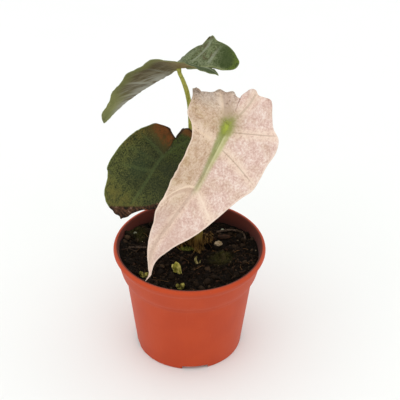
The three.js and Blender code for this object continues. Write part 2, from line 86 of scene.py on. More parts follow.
def place_camera():
    tilt = math.radians(ELEVATION)
    back = Vector((0, -math.cos(tilt), math.sin(tilt)))
    right = Vector((1, 0, 0))
    level = Matrix((right, back.cross(right), back)).transposed()
    turned = Matrix.Rotation(math.radians(ROLL), 3, back) @ level
    camera = placed("photo_camera", bpy.data.cameras.new("photo_camera"))
    camera.data.lens, camera.data.sensor_width = LENS, SENSOR
    camera.data.clip_start, camera.data.clip_end = NEAR, FAR
    camera.matrix_world = Matrix.Translation((Vector(AIM) + back * DISTANCE) * MM) @ turned.to_4x4()
    bpy.context.scene.camera = camera


place_camera()


# Node trees written as plain expressions


def both_ways(operation):
    """An operator for the class below, and its reflected form."""
    return (lambda self, other: self.math(operation, self, other),
            lambda self, other: self.math(operation, other, self))


class Wire:
    """An output socket that takes part in plain arithmetic. Numbers go through Math nodes, and
    vectors through Vector Math nodes."""

    __add__, __radd__ = both_ways("ADD")
    __sub__, __rsub__ = both_ways("SUBTRACT")
    __mul__, __rmul__ = both_ways("MULTIPLY")
    __truediv__ = both_ways("DIVIDE")[0]
    __pow__ = both_ways("POWER")[0]
    least = both_ways("MINIMUM")[0]
    most = both_ways("MAXIMUM")[0]

    def __init__(self, tree, socket):
        self.tree, self.socket = tree, socket

    def math(self, operation, *values):
        wide = any(isinstance(v, Wire) and v.socket.type in ("VECTOR", "RGBA") for v in values)
        kind = "ShaderNodeVectorMath" if wide else "ShaderNodeMath"
        return make(self.tree, kind, dict(enumerate(values)), operation=operation)

    def __abs__(self):
        return self.math("ABSOLUTE", self)

    def sine(self):
        return self.math("SINE", self)

    def rise(self, low, high):
        """0 at low and 1 at high, with soft ends. The two may stand the other way round."""
        if isinstance(low, Wire) or isinstance(high, Wire) or low < high:
            return make(self.tree, "ShaderNodeMapRange", {0: self, 1: low, 2: high},
                        interpolation_type="SMOOTHSTEP")
        return 1 - self.rise(high, low)

    def noise(self, size, detail=2.0, rough=0.5, out=0):
        """Soft noise from 0 to 1, with lumps of about that size in the units of this place."""
        values = {"Vector": self, "Scale": 1 / size, "Detail": detail, "Roughness": rough}
        return make(self.tree, "ShaderNodeTexNoise", values, out)

    def parts(self):
        split = make(self.tree, "ShaderNodeSeparateXYZ", {0: self})
        return [Wire(self.tree, socket) for socket in split.socket.node.outputs]


def make(tree, kind, values=None, out=0, **settings):
    """Adds one node of that kind: its settings first, then its sockets' values or links."""
    node = tree.nodes.new(kind)
    for name, value in settings.items():
        setattr(node, name, value)
    for name, value in (values or {}).items():
        socket = node.inputs[name]
        if isinstance(value, Wire):
            tree.links.new(value.socket, socket)
        elif socket.type in ("VECTOR", "ROTATION") and isinstance(value, (int, float)):
            socket.default_value = (value,) * 3
        else:
            socket.default_value = value
    return Wire(tree, node.outputs[out]) if node.outputs else None


def length(x, y, squash=1):
    return (x * x * squash + y * y) ** 0.5


def vector(tree, x=0.0, y=0.0, z=0.0):
    return make(tree, "ShaderNodeCombineXYZ", {0: x, 1: y, 2: z})


def attribute(tree, name, out="Vector"):
    return make(tree, "ShaderNodeAttribute", {}, out, attribute_name=name)


def millimetres(tree):
    """Where a point is in the object, in millimetres."""
    return make(tree, "ShaderNodeTexCoord", {}, "Object") * (1 / MM)


def tone(colour):
    """A colour written as six hex digits, as the shader takes it. A wire stays as it is."""
    if isinstance(colour, Wire):
        return colour
    shown = [int(colour[i:i + 2], 16) / 255 for i in (1, 3, 5)]
    return (*[c / 12.92 if c <= 0.04045 else ((c + 0.055) / 1.055) ** 2.4 for c in shown], 1.0)


def over(colour, *coats):
    """A colour with coats laid over it in turn, each a colour and its share from 0 to 1."""
    for coat, share in coats:
        colour = make(share.tree, "ShaderNodeMix", {0: share, 6: tone(colour), 7: tone(coat)}, 2,
                      data_type="RGBA", clamp_factor=True)
    return colour


def finish(colour, rough, height, depth, strength):
    """What varies over a surface, with relief from a height in units of depth, in millimetres."""
    relief = {"Strength": strength, "Distance": depth * MM, "Height": height}
    return {"Base Color": colour, "Roughness": rough, "Normal": make(height.tree, "ShaderNodeBump", relief)}


def look(name, paint, fixed):
    """A material: paint gives the sockets that change over the surface, fixed the rest."""
    material = bpy.data.materials.new(name)
    material.use_nodes = True
    tree = material.node_tree
    tree.nodes.clear()
    shader = make(tree, "ShaderNodeBsdfPrincipled", {**fixed, **paint(tree)})
    make(tree, "ShaderNodeOutputMaterial", {"Surface": shader})
    return material


# Shapes in numbers

LATTICE = 128                       # cells before the random heights repeat


def smooth(x, low, high):
    k = np.clip((np.asarray(x, float) - low) / (high - low), 0, 1)
    return k * k * (3 - 2 * k)


def along(table, key, column, slope=False):
    """Smooth curve through the rows of a table [key, value, value, ...] at every key."""
    table, key = np.asarray(table, float), np.asarray(key, float)
    x, y = table[:, 0], table[:, column]
    step = np.diff(x)
    rise = np.diff(y) / step
    inner = (rise[1:] * step[:-1] + rise[:-1] * step[1:]) / (step[:-1] + step[1:])
    tangent = np.concatenate([rise[:1], inner, rise[-1:]])
    i = np.clip(np.searchsorted(x, key, side="left") - 1, 0, len(x) - 2)
    h, p, q, mp, mq = step[i], y[i], y[i + 1], tangent[i], tangent[i + 1]
    u = (key - x[i]) / h
    if slope:
        value = (6 * u * u - 6 * u) * (p - q) / h + (3 * u * u - 4 * u + 1) * mp + (3 * u * u - 2 * u) * mq
        return np.where(u < 0, mp, np.where(u > 1, mq, value))
    value = ((2 * u**3 - 3 * u * u + 1) * p + (u**3 - 2 * u * u + u) * h * mp
             + (3 * u * u - 2 * u**3) * q + (u**3 - u * u) * h * mq)
    return np.where(u < 0, p + mp * u * h, np.where(u > 1, q + mq * (u - 1) * h, value))


def held(table, key, column):
    """The same curve, level past both ends of the table."""
    return along(table, np.clip(key, table[0][0], table[-1][0]), column)


def lumps(x, y, cell, seed):
    """Smooth random heights from -1 to 1 on a square lattice with that cell."""
    lattice = np.random.default_rng(seed).uniform(-1, 1, (LATTICE, LATTICE))
    u, v = np.asarray(x, float) / cell, np.asarray(y, float) / cell
    i, j = np.floor(u).astype(int), np.floor(v).astype(int)
    a, b = smooth(u - i, 0, 1), smooth(v - j, 0, 1)

    def corner(di, dj):
        return lattice[(i + di) % LATTICE, (j + dj) % LATTICE]

    low = corner(0, 0) * (1 - a) + corner(1, 0) * a
    high = corner(0, 1) * (1 - a) + corner(1, 1) * a
    return low * (1 - b) + high * b


def unit(v):
    return v / np.maximum(np.linalg.norm(v, axis=-1, keepdims=True), 1e-12)


def spot(x, y, reach, angle):
    """A place at that reach and angle from another."""
    return [x + reach * math.cos(angle), y + reach * math.sin(angle)]


def circle(spokes):
    """The cosine and sine at every spoke."""
    angle = np.arange(spokes) * 2 * np.pi / spokes
    return np.cos(angle), np.sin(angle)


def piece(name, points, faces, material, attributes=None):
    """A mesh object from points in millimetres."""
    mesh = bpy.data.meshes.new(name)
    mesh.from_pydata((np.asarray(points) * MM).tolist(), [], [list(map(int, f)) for f in faces])
    for key, values in (attributes or {}).items():
        wide = np.ndim(values) == 2
        layer = mesh.attributes.new(key, "FLOAT_VECTOR" if wide else "FLOAT", "POINT")
        layer.data.foreach_set("vector" if wide else "value", np.ravel(values).astype(np.float32))
    mesh.validate()
    mesh.shade_smooth()
    mesh.materials.append(material)
    return placed(name, mesh)


def closed_rings(rings, first, last):
    """Points and faces of rings that run from the top down, closed on a point at both ends."""
    count, spokes = rings.shape[:2]
    points = np.concatenate([[first], rings.reshape(-1, 3), [last]])
    lowest = 1 + (count - 1) * spokes
    faces = []
    for a in range(spokes):
        b = (a + 1) % spokes
        faces.append([0, 1 + a, 1 + b])
        faces.append([len(points) - 1, lowest + b, lowest + a])
        for k in range(count - 1):
            p, q = 1 + k * spokes, 1 + (k + 1) * spokes
            faces.append([p + a, q + a, q + b, p + b])
    return points, faces


def dress(made, slot, *nodes):
    """Puts a finished piece on the plant's body, and hides the nodes that it stands for. The slot is not
    used.
    """
    if nodes:
        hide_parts(*nodes)
    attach(made, BODY)
    return made


def extent(node):
    """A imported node's centre and half sizes, in millimetres."""
    low, high = (np.array(corner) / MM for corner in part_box(node))
    return (low + high) / 2, (high - low) / 2


# Geometry Nodes: each tree ends in Realize Instances and Set Material, and becomes a plain mesh


def plant_tree(name, sizes):
    """An empty tree with a geometry socket and named inputs; returns it and its input wires."""
    tree = bpy.data.node_groups.new(name, "GeometryNodeTree")
    for way in ("INPUT", "OUTPUT"):
        tree.interface.new_socket("Geometry", in_out=way, socket_type="NodeSocketGeometry")
    for key, value in sizes.items():
        kind = "NodeSocketInt" if isinstance(value, int) else "NodeSocketFloat"
        tree.interface.new_socket(key, in_out="INPUT", socket_type=kind)
    start = tree.nodes.new("NodeGroupInput")
    return tree, {socket.name: Wire(tree, socket) for socket in start.outputs if socket.name}


def node_after(kind, shape, **values):
    """A Geometry node that takes a shape and gives it back changed."""
    return make(shape.tree, "GeometryNode" + kind, {"Geometry": shape, **values})


def end_tree(shape, material, rounded=True):
    shape = node_after("RealizeInstances", shape)
    if rounded:
        shape = node_after("SetShadeSmooth", shape)
    shape = node_after("SetMaterial", shape, Material=material)
    make(shape.tree, "NodeGroupOutput", {"Geometry": shape})


def stored(shape, name, value, domain="POINT"):
    """The shape with a number kept on each of its points or instances."""
    values = {"Geometry": shape, "Name": name, "Value": value}
    return make(shape.tree, "GeometryNodeStoreNamedAttribute", values, data_type="FLOAT", domain=domain)


def recalled(tree, name):
    return make(tree, "GeometryNodeInputNamedAttribute", {"Name": name}, data_type="FLOAT")


def round_profile(tree, sides):
    return make(tree, "GeometryNodeCurvePrimitiveCircle", {"Resolution": sides, "Radius": 1.0})


def skinned(lines, profile, width):
    return make(lines.tree, "GeometryNodeCurveToMesh",
                {"Curve": lines, "Profile Curve": profile, "Fill Caps": True, "Scale": width})


def grown(name, start, tree, sizes, keep_start=False):
    """Runs a tree on an object, and returns the result as a plain mesh object of that name."""
    modifier = start.modifiers.new(tree.name, "NODES")
    modifier.node_group = tree
    for item in tree.interface.items_tree:
        if item.in_out == "INPUT" and item.name in sizes:
            modifier[item.identifier] = sizes[item.name]
    graph = bpy.context.evaluated_depsgraph_get()
    mesh = bpy.data.meshes.new_from_object(start.evaluated_get(graph), depsgraph=graph)
    start.modifiers.remove(modifier)
    if not keep_start:
        bpy.data.objects.remove(start)
    mesh.name = name
    return placed(name, mesh)


FINER = 8                           # points of a path between two rows of a strand
THINNEST = 0.02                     # least radius of a strand


def path(name, strands):
    """A curve object with one smooth spline for each strand, a list of rows [x, y, z, radius]."""
    data = bpy.data.curves.new(name, "CURVE")
    data.dimensions = "3D"
    for rows in strands:
        steps = np.linspace(0, len(rows) - 1, FINER * (len(rows) - 1) + 1)
        table = np.column_stack([np.arange(len(rows)), rows])
        fine = np.column_stack([along(table, steps, column) for column in (1, 2, 3, 4)])
        spline = data.splines.new("POLY")
        spline.points.add(len(fine) - 1)
        for point, (x, y, z, radius) in zip(spline.points, fine):
            point.co, point.radius = (x * MM, y * MM, z * MM, 1), max(radius, THINNEST) * MM
    return placed(name, data)


def swept(name, strands, material, sides=12, step=0.6, ripple=0.0, ripple_size=1.0, groove=0.0,
          groove_end=0.6):
    """Round skin along each strand, rippled, with a shallow channel up one side if wanted."""
    sizes = {"Sides": sides, "Step": step * MM, "Ripple": ripple * MM, "Ripple size": ripple_size * MM,
             "Groove": groove, "Groove end": groove_end}
    tree, given = plant_tree("swept_skin", sizes)
    line = make(tree, "GeometryNodeResampleCurve", {"Curve": given["Geometry"], "Length": given["Step"]},
                mode="LENGTH")
    line = stored(line, "rise", make(tree, "GeometryNodeSplineParameter"))
    ring = stored(round_profile(tree, given["Sides"]), "turn", make(tree, "GeometryNodeSplineParameter"))
    skin = skinned(line, ring, make(tree, "GeometryNodeInputRadius"))
    bumps = (make(tree, "GeometryNodeInputPosition") / given["Ripple size"]).noise(1) - 0.5
    channel = abs(recalled(tree, "turn") - 0.5).rise(0.16, 0.0)
    channel = channel * recalled(tree, "rise").rise(given["Groove end"], 0.0)
    push = bumps * given["Ripple"] - channel * given["Groove"] * MM
    skin = node_after("SetPosition", skin, Offset=make(tree, "GeometryNodeInputNormal") * push)
    end_tree(skin, material)
    return grown(name, path(name + "_path", strands), tree, sizes)


# Finishes. Colours are the photograph's, read as the eye names them.

ALGAE = [[12.5, -1.0, 6.5], [-21, 13, 6]]       # green films on the mix: x, y and reach
PINK_LINES = [                      # vein, colour, width in millimetres, share
    ["back", "#a08f76", 0.6, 0.42], ["side", "#937a66", 0.34, 0.47], ["slant", "#937c66", 0.38, 0.44],
    ["low", "#ecd8c6", 0.5, 0.75], ["bow_shade", "#a98672", 1.5, 0.4], ["bow", "#ecd6be", 0.7, 0.85],
    # crease is a band of painted shade along the fold from the top notch down to the stalk's join
    ["fore", "#e2c9ad", 0.6, 0.5], ["crease", "#96786a", 3, 0.48], ["pleat", "#e4cdb4", 0.7, 0.45],
    ["thread", "#a48a7a", 1.1, 0.32],
]
TOP_LINES = [[vein, "#9a9f8a", width, share] for vein, width, share in (
    ("peak", 0.7, 0.44), ("lobe", 0.8, 0.4), ("sliver", 0.6, 0.4), ("fore", 0.6, 0.3))]
TOP_UNDER_LINES = [["under_low", "#a09e8e", 1.1, 0.55]]
LEFT_LINES = [[vein, "#5a693c", 1.1, share] for vein, share in (
    ("rib", 0.28), ("corner", 0.2), ("side", 0.2), ("mid", 0.12), ("low", 0.18))]
SATIN = {"Specular IOR Level": 0.12}
DULL = {"Specular IOR Level": 0.08}
PLASTIC = {"Specular IOR Level": 0.3, "Sheen Weight": 0.05, "Sheen Roughness": 0.5}


def blade_facts(tree):
    """The flat place, s along the rib, t across it, the share of the way out, millimetres to the
    nearest main vein, millimetres to the margin, and 1 on the underside."""
    blade, veins = attribute(tree, "blade"), attribute(tree, "veins")
    return [blade * (1, 1, 0), *blade.parts(), *veins.parts()]


def vein_coats(s, t, leaf, lines):
    """Coats of thin lines along a blade's veins. A line fades out at both its ends."""
    coats = []
    for name, code, width, share in lines:
        half, way, curve, low, high = leaf["lines"][name]
        ahead, beside = (t * half, s) if way == "out" else (s, t * half)
        middle = curve[0]
        for k in curve[1:]:
            middle = ahead * middle + k
        slope = np.polyval(np.polyder(curve), (low + high) / 2)
        gap = abs(beside - middle) * (1 / math.hypot(1, slope))
        ends = ahead.rise(low - 0.5, low + 0.5) * ahead.rise(high + 2, high - 3)
        coats.append((code, gap.rise(width, width * 0.3) * ends * share))
    return coats


def dryness(leaf, s, right, left):
    """How far a flat point lies past the line where a blade has dried, in millimetres along its rib."""
    start, right_slope, left_slope = leaf["dry"]
    return s - start - right * right_slope - left * left_slope


def pink_paint(tree):
    place, s, t, _, vein, margin, under = blade_facts(tree)
    broad, cloud, grain = place.noise(8, 3, 0.55), place.noise(3.4, 3, 0.6), place.noise(0.8, 3, 0.7)
    fine = cloud * 0.36 + grain * 0.64
    blush = over("#c4a498", ("#d6baae", fine.rise(0.39, 0.51)), ("#e6d6cb", fine.rise(0.48, 0.63)))
    tan = over("#b39576", ("#d0ba9d", fine.rise(0.36, 0.62)))
    warm = (t.rise(-1, 4) * 0.7 + broad.rise(0.45, 0.65) * 0.3) * s.rise(46, 30)
    crease = (place * (0.4, 1, 0)).noise(1.6, 3, 0.6)
    crust = over("#b5a395", ("#d6c8bb", fine.rise(0.4, 0.6)), ("#e6dad0", crease.rise(0.54, 0.66) * 0.7))
    half_width = (s.rise(33, -4) * 1.3 + s.rise(32, 26) * 1.15) * s.rise(-5, 2)
    rib = (abs(t - 0.1) - half_width).rise(1.0, -0.9) * s.rise(31, 25) * s.rise(-2.5, 0.5)
    # Painted light on the rib: its right side is painted lighter and its left side darker, with a painted
    # highlight stripe (ridge) along it
    ridge = (t + 0.7).rise(0.5, 0) * (t + 0.7).rise(-0.6, 0)
    streak = (place * (0.12, 1, 0)).noise(0.5)
    green = over("#838d52", ("#abad72", t.rise(0.5, -0.7)), ("#c6c597", ridge * 0.7),
                 ("#bdbb8a", streak.rise(0.45, 0.7) * 0.4))
    arms = length(s - 1, t - 0.3, 0.4) + broad * 2 + cloud * 3 + 0.8
    star = over("#7f873e", ("#9daa3b", (arms + grain * 3).rise(7, 4.6)))
    speck = place.noise(0.9, 3, 0.75).rise(0.58, 0.66)
    burnt = place.noise(2.0, 3, 0.6).rise(0.45, 0.6) * margin.rise(1.6, 0.3) * s.rise(-4, -8) * t.rise(0, 3)
    back = over("#b59a88", ("#c9b094", fine.rise(0.4, 0.6)),
                ("#8a9160", abs(t).rise(1.6, 0.4) * s.rise(34, 20) * s.rise(-4, 0)))
    colour = over(
        blush,
        (tan, warm),
        (crust, s.rise(-1, -9) * t.rise(-1, 3) * 0.75),  # the dry top corner
        ("#ab8d6c", cloud.rise(0.48, 0.3) * t.rise(1, 6) * s.rise(44, 26) * 0.38),
        ("#c4a597", s.rise(30, 50) * broad.rise(0.35, 0.6) * 0.6),
        ("#e8d2bd", vein.rise(3.6, 0.6) * fine.rise(0.34, 0.5) * 0.6),
        *vein_coats(s, t, PINK_LEAF, PINK_LINES),
        (green, rib * (0.9 - s.rise(8, 26) * 0.3)),
        ("#9b8a62", arms.rise(11, 5.5) * s.rise(6, 0) * 0.5),
        (star, (arms + grain).rise(8.2, 5) * 0.84),  # where the stalk joins
        ("#6d5a4c", speck * margin.rise(8, 1) * s.rise(-1, -6) * t.rise(-1, 2) * 0.65),
        ("#6a5a4f", burnt * 0.42),  # the torn edge
        ("#5d4a3b", speck * cloud.rise(0.55, 0.4) * t.rise(0, 4) * s.rise(20, 0) * 0.8),
        ("#8c7362", speck * cloud.rise(0.62, 0.4) * 0.3),
        # The pale margin is partly the blade's own tone and partly a painted highlight along the edge
        ("#ecd9c8", margin.rise(0.7, 0.15) * s.rise(-6, 4) * 0.6),  # a pale margin
        (back, under))
    return finish(colour, 0.7 + grain * 0.15 - rib * 0.1, grain * 0.3 + cloud * 0.9, 0.3, 0.7)


def top_paint(tree):
    place, s, t, out, vein, margin, under = blade_facts(tree)
    wide = abs(t)
    cloud, grain = place.noise(2.4, 4, 0.65), place.noise(0.6, 3, 0.8)
    fine = grain * 0.5 + cloud * 0.5
    stain = cloud.rise(0.5, 0.42) * t.rise(2, 5) * s.rise(-14, -11) * s.rise(-3, -8)
    upper = over(
        "#3f4b28",
        ("#6e7653", fine.rise(0.42, 0.58)),
        ("#7c8468", t.rise(8, 1) * s.rise(-15, -10) * fine.rise(0.4, 0.56) * 0.42),
        ("#554b32", stain * 0.72),  # beside the peak
        ("#33401a", (s.rise(-12, -16) * t.rise(0, 2)).most(t.rise(-3, -6)) * 0.85),
        ("#5c6c22", margin.rise(3, 0.3) * s.rise(-15, -21) * fine.rise(0.4, 0.56) * 0.8),
        *vein_coats(s, t, TOP_LEAF, TOP_LINES),
        ("#8b9163", wide.rise(1.1, 0.2) * 0.5))
    sweep = vector(tree, s * 0.16, wide - s * 0.35)
    streak, silver = sweep.noise(0.9, 3, 0.6), (sweep + (7, 0, 0)).noise(1.5)
    patch = length(s - 5, wide - 9, 0.3) + streak * 4
    lower = over(
        "#564c35",
        ("#706951", streak.rise(0.4, 0.6)),
        ("#463b23", patch.rise(7, 3) * 0.7),  # the brown hollow
        ("#9c9b8d", wide.rise(8, 2) * silver.rise(0.44, 0.6) * s.rise(5, 12) * 0.5),
        ("#98978a", wide.rise(3.4, 0.6) * silver.rise(0.3, 0.5) * s.rise(2, 8) * 0.7),
        *vein_coats(s, t, TOP_LEAF, TOP_UNDER_LINES),
        ("#8e8f7e", vein.rise(0.9, 0.2) * out.rise(1.0, 0.4) * 0.35),
        ("#686b3c", margin.rise(4.4, 0.8) * 0.8),  # greener to the edge
        ("#8b8e58", s.rise(20, 38) * (wide + streak * 3).rise(1.5, 3.5) * 0.85),
        ("#7a7f50", s.rise(33, 42) * 0.9),  # and at the tip
        ("#817f4c", wide.rise(0.9, 0.3) * s.rise(6, 0) * 0.6),
        ("#7f6d3e", s.rise(3, -2) * s.rise(-14, -8) * 0.6))
    colour = over(upper, (lower, under), ("#7d8455", margin.rise(0.45, 0.1) * 0.45))
    return finish(colour, 0.5 + grain * 0.16, grain * 0.3 + cloud * 0.8, 0.35, 0.8)


def left_paint(tree):
    place, s, t, _, _, margin, under = blade_facts(tree)
    broad, cloud, grain = place.noise(6, 3), place.noise(2.2, 4, 0.7), place.noise(0.6, 3, 0.8)
    fine = cloud * 0.3 + grain * 0.7
    ragged = (cloud - 0.5) * 5 + (grain - 0.5) * 4
    middle = length(s - 10, t - 6) + cloud * 4
    olive = (t.rise(7, 14) + s.rise(15, 24) + broad.rise(0.5, 0.65) * 0.5) * fine.rise(0.4, 0.6)
    sallow = margin.rise(6, 1) * t.rise(4, 8) * s.rise(9, 2) * (cloud * 0.5 + grain * 0.5).rise(0.44, 0.58)
    rust = over("#71401a", ("#473012", (cloud * 0.6 + grain * 0.4).rise(0.44, 0.6)))
    slant = s + t * 0.3 + ragged
    dead = slant.rise(-0.8, -4.6) * (t - 9.5 + ragged).rise(2.2, -1.8)
    scorch = slant.rise(2.4, -2.6) * (t - 12 + ragged).rise(3, -2)
    corner = (s + ragged * 0.5).rise(-8.6, -10.8) * t.rise(0.2, -0.4)
    notch = s + 6.7 + (grain - 0.5) * 0.8
    notch_left = (notch * 0.2 - t).rise(1.9, 0.8) * t.rise(0.1, -0.3)
    notch_right = (notch + t * 0.6).rise(1.2, 0.3) * t.rise(-0.1, 0.3) * t.rise(7, 4)
    charred = notch_left.most(notch_right).most(margin.rise(0.9, 0.3)) * s.rise(-5.8, -6.8) * t.rise(8, 4)
    dry = (dryness(LEFT_LEAF, s, t.most(0), t.least(0)) + (cloud - 0.5) * 3).rise(-0.6, 0.6)
    fibre = (place * (1, 0.45, 0)).noise(1.2, 4, 0.75)
    crisp = over("#17110b", ("#4d3322", fibre.rise(0.42, 0.58)), ("#83695a", fibre.rise(0.59, 0.68)))
    colour = over(
        "#1a210b",
        ("#484c27", fine.rise(0.4, 0.6)),
        ("#1a220d", t.rise(10, -2) * s.rise(20, 6) * cloud.rise(0.35, 0.6) * 0.7),  # in shade
        ("#2b3920", middle.rise(9, 4) * 0.42),
        ("#565a29", olive * 0.75),
        ("#79734a", grain.rise(0.58, 0.7) * t.rise(3, 9) * 0.6),
        ("#665c28", s.rise(19, 25) * cloud.rise(0.3, 0.65) * 0.55),
        *vein_coats(s, t, LEFT_LEAF, LEFT_LINES),
        ("#4a5622", t.rise(0.3, -0.6) * s.rise(2, -3) * fine.rise(0.4, 0.6) * 0.6),
        ("#6b5723", sallow * 0.65),  # yellowing
        ("#4c3f1a", t.rise(-0.5, 1) * scorch * 0.75),  # around the dead patch
        (rust, t.rise(-0.2, 0.4) * dead * 0.9),
        ("#67401c", corner * 0.85),
        ("#26160c", charred * 0.8),  # the notch's edges
        (crisp, dry),  # the dried end
        ("#74803a", margin.rise(0.55, 0.15) * t.rise(2, 5) * (1 - dry) * s.rise(-9, -3) * 0.6),
        (over("#4c4734", ("#635f42", cloud)), under * (1 - dry)))
    return finish(colour, 0.5 + grain * 0.18 + dry * 0.2, grain * 0.35 + cloud * 0.9, 0.3, 0.8)


def stalk_paint(tree):
    place = millimetres(tree)
    streak = (place * (1, 1, 0.1)).noise(0.5, 3, 0.6)
    foot = (attribute(tree, "rise", "Fac") + streak * 0.1).rise(0.38, 0.18)
    colour = over("#91923a", ("#adab58", streak.rise(0.35, 0.65)),
                  ("#5f6426", place.noise(2.4, 3).rise(0.5, 0.68) * 0.4), ("#5b3c1b", foot * 0.92))
    return finish(colour, 0.45 + streak * 0.12, streak, 0.08, 0.6)


def mix_look(name, dark, light, shine=0.0):
    """The potting mix, its crumbs or its fibres: one dark tone broken by a lighter one."""

    def paint(tree):
        place = millimetres(tree)
        x, y, _ = place.parts()
        own, grain = attribute(tree, "tint", "Fac"), place.noise(0.4, 4, 0.75)
        films = []
        for spot_x, spot_y, reach in ALGAE:
            away = length(x - spot_x, y - spot_y) + place.noise(3, 3) * 4 - 2
            films.append(("#45431a", away.rise(reach, reach * 0.3) * grain.rise(0.38, 0.6) * 0.6))
        colour = over(dark, (light, own ** 6 * 0.8 + grain.rise(0.56, 0.7) * 0.45), *films)
        return finish(colour, 0.9 - own * own * shine + grain * 0.1, grain, 0.25, 0.9)

    return look(name, paint, DULL)


def speckled(name, colours, size, rough, depth=0.15, stretch=(1, 1, 1)):
    """A dull natural surface: two tones in soft patches, and a third in fine specks."""
    base, patches, specks = colours

    def paint(tree):
        place = millimetres(tree) * stretch
        patch, speck = place.noise(size * 3, 3, 0.6), place.noise(size, 3, 0.7)
        colour = over(base, (patches, patch.rise(0.4, 0.62)), (specks, speck.rise(0.5, 0.64) * 0.8))
        return finish(colour, rough + speck * 0.15, speck + patch, depth, 0.7)

    return look(name, paint, DULL)


def pot_paint(tree):
    place = millimetres(tree)
    x, y, z = place.parts()
    around = length(x, y)
    scuff = (place * (1, 1, 0.16)).noise(1.1, 4, 0.65)
    step = abs(z - COLLAR_BOTTOM + 0.8).rise(1.4, 0.6)
    lip = abs(z - LIP_BOTTOM).rise(1.2, 0.6) * (around - COLLAR_RADIUS - 0.8).rise(0, 0.4)
    flat_top = (around - RIM_RADIUS).rise(-0.4, -0.8) * z.rise(POT_HEIGHT - 1.2, POT_HEIGHT - 0.4)
    inside = (around - z * 0.2 - 19.5).rise(0.15, -0.15) * z.rise(37, 38.5)
    dust = place.noise(1.3, 4, 0.75).rise(0.56, 0.7) * inside * z.rise(46, 41)
    colour = over(
        "#b03a0b",
        ("#b53e0e", place.noise(12, 3).rise(0.35, 0.65)),
        ("#b95535", scuff.rise(0.6, 0.75) * 0.3),
        ("#7a3018", flat_top * 0.35),
        # Painted shade and dirt inside the mouth: near black low down by the mix, dark red-brown higher up
        (over("#0f0604", ("#431407", z.rise(40, 46))), inside * 0.92),
        ("#1d120b", dust * 0.85),
        ("#d0866a", place.noise(1.0).rise(0.76, 0.8) * 0.4))
    rough = 0.55 + scuff * 0.14 + (inside + step.most(lip)) * 0.25
    return finish(colour, rough, place.noise(0.4) * 0.2 + scuff, 0.04, 0.5)


# Blades. The rib is [s, x, y, z] rows along it, and up is where its upper face looks. Lift and curl
# are degrees for the right and left half at a place on the rib. Each row of veins says where it
# starts on the rib, and where it ends, as s and t to the right and then to the left. A line is its
# half, whether it runs out from the rib or on along it, its curve, and its start and end. Dry is
# where the edge of a dried end crosses the rib, and its slopes to the right and left. Crisp is how
# much the blade crinkles past that edge, or before it where negative. A stalk is [x, y, z, radius]
# rows, and tip is the radius at its end.

STEM_FOOT = 34.0                    # where a stalk starts, inside the mix
PINK_LEAF = {
    "rib": [[-24, 19.5, 6, 121.5], [-10, 17.6, 0.2, 112.8], [0, 14.3, -4, 105.5], [14, 8.1, -10.8, 95],
            [28, 1.9, -16.6, 84], [42, -6, -20.6, 73], [56, -13.2, -22.6, 61], [64.5, -14.6, -23, 52.8],
            [68.3, -14.9, -23.2, 49.6], [71.2, -16.3, -23.2, 47.2]],
    "up": [-0.15, -0.8, 0.6],
    "lift": [[-24, 6, 2], [-8, 10, 4], [2, 26, 5], [12, 44, 6.5], [22, 46, 8.5], [36, 40, 11], [50, 38, 14],
             [71, 30, 14]],
    "curl": [[-24, -10, -10], [0, 8, -6], [20, 14, -4], [71, 10, 0]],
    "veins": [
        [0, -12, 0, -12, 0], [0, -12.4, 1.2, -13.4, 0.6], [0, -14.6, 2.9, -15.7, 2.1],
        [0, -13.3, 5.4, -17.2, 3.8], [0, -14.2, 8.1, -16.8, 5.5], [0, -11.6, 10, -14.9, 6.8],
        [0, -9.8, 12.4, -14.6, 8.6], [0, -8.8, 15, -13.7, 11.8], [0, -10.4, 17.5, -9.6, 13.4],
        [0, -5, 16.8, -5.6, 15.5], [0, -0.6, 17, -2.6, 19.1], [0.5, 3, 16.4, 1.8, 20.2],
        [2.5, 6.6, 14.6, 7, 19.5], [6.5, 11.4, 12.6, 12.4, 19.7], [10.5, 15.6, 12.2, 17.5, 19.2],
        [16, 20.6, 13.7, 22.4, 16.3], [21, 26, 12.8, 27.4, 14.2], [27, 34, 10, 34, 11.9],
        [34, 40, 9.9, 41, 9.7], [41, 46, 6.6, 47.5, 6.9], [48, 52.4, 3.8, 54, 4.6],
        [56, 58.7, 2, 60.2, 1.9], [63, 64.5, 0.8, 65, 0.8], [71.2, 71.8, 0, 71.8, 0],
    ],
    "lines": {
        "back": (-1, "on", (-0.0015, -0.4, 0.2), -15, -3),
        "side": (-1, "out", (-0.0012, -0.33, 2.8), 2.4, 18),
        "slant": (-1, "out", (0.0075, 0.22, 9), 2, 17.6), "low": (-1, "out", (0.0015, 0.5, 26.9), 0.6, 11),
        "bow": (1, "out", (0.0113, 0, 0, 26.4), 0.6, 9.2),
        "bow_shade": (1, "out", (0.0113, 0, 0, 27.8), 1, 9.2),
        "fore": (1, "out", (-0.005, 0.02, 7.8), 1.5, 17), "crease": (1, "on", (-0.33, 0.9), -14, -1),
        "pleat": (1, "on", (-0.42, 2.4), -12, -3), "thread": (1, "on", (0, 0.9), 27, 66),
    },
    "rib_height": 0.6, "rib_width": 1.5, "rib_end": 31, "wave": 0.7, "waves": 2.1, "swell": 0.35, "seed": 3,
    "dry": [-9, 0, 0], "crisp": -0.7,
    "stalk": [[3.2, 5.8, STEM_FOOT, 1.9], [3.4, 6.4, 46, 1.7], [5.4, 8.2, 66, 1.35], [9.6, 7.4, 86, 1.2],
              [13.2, 3.4, 98, 1.15]],
    "tip": 1.1,
}
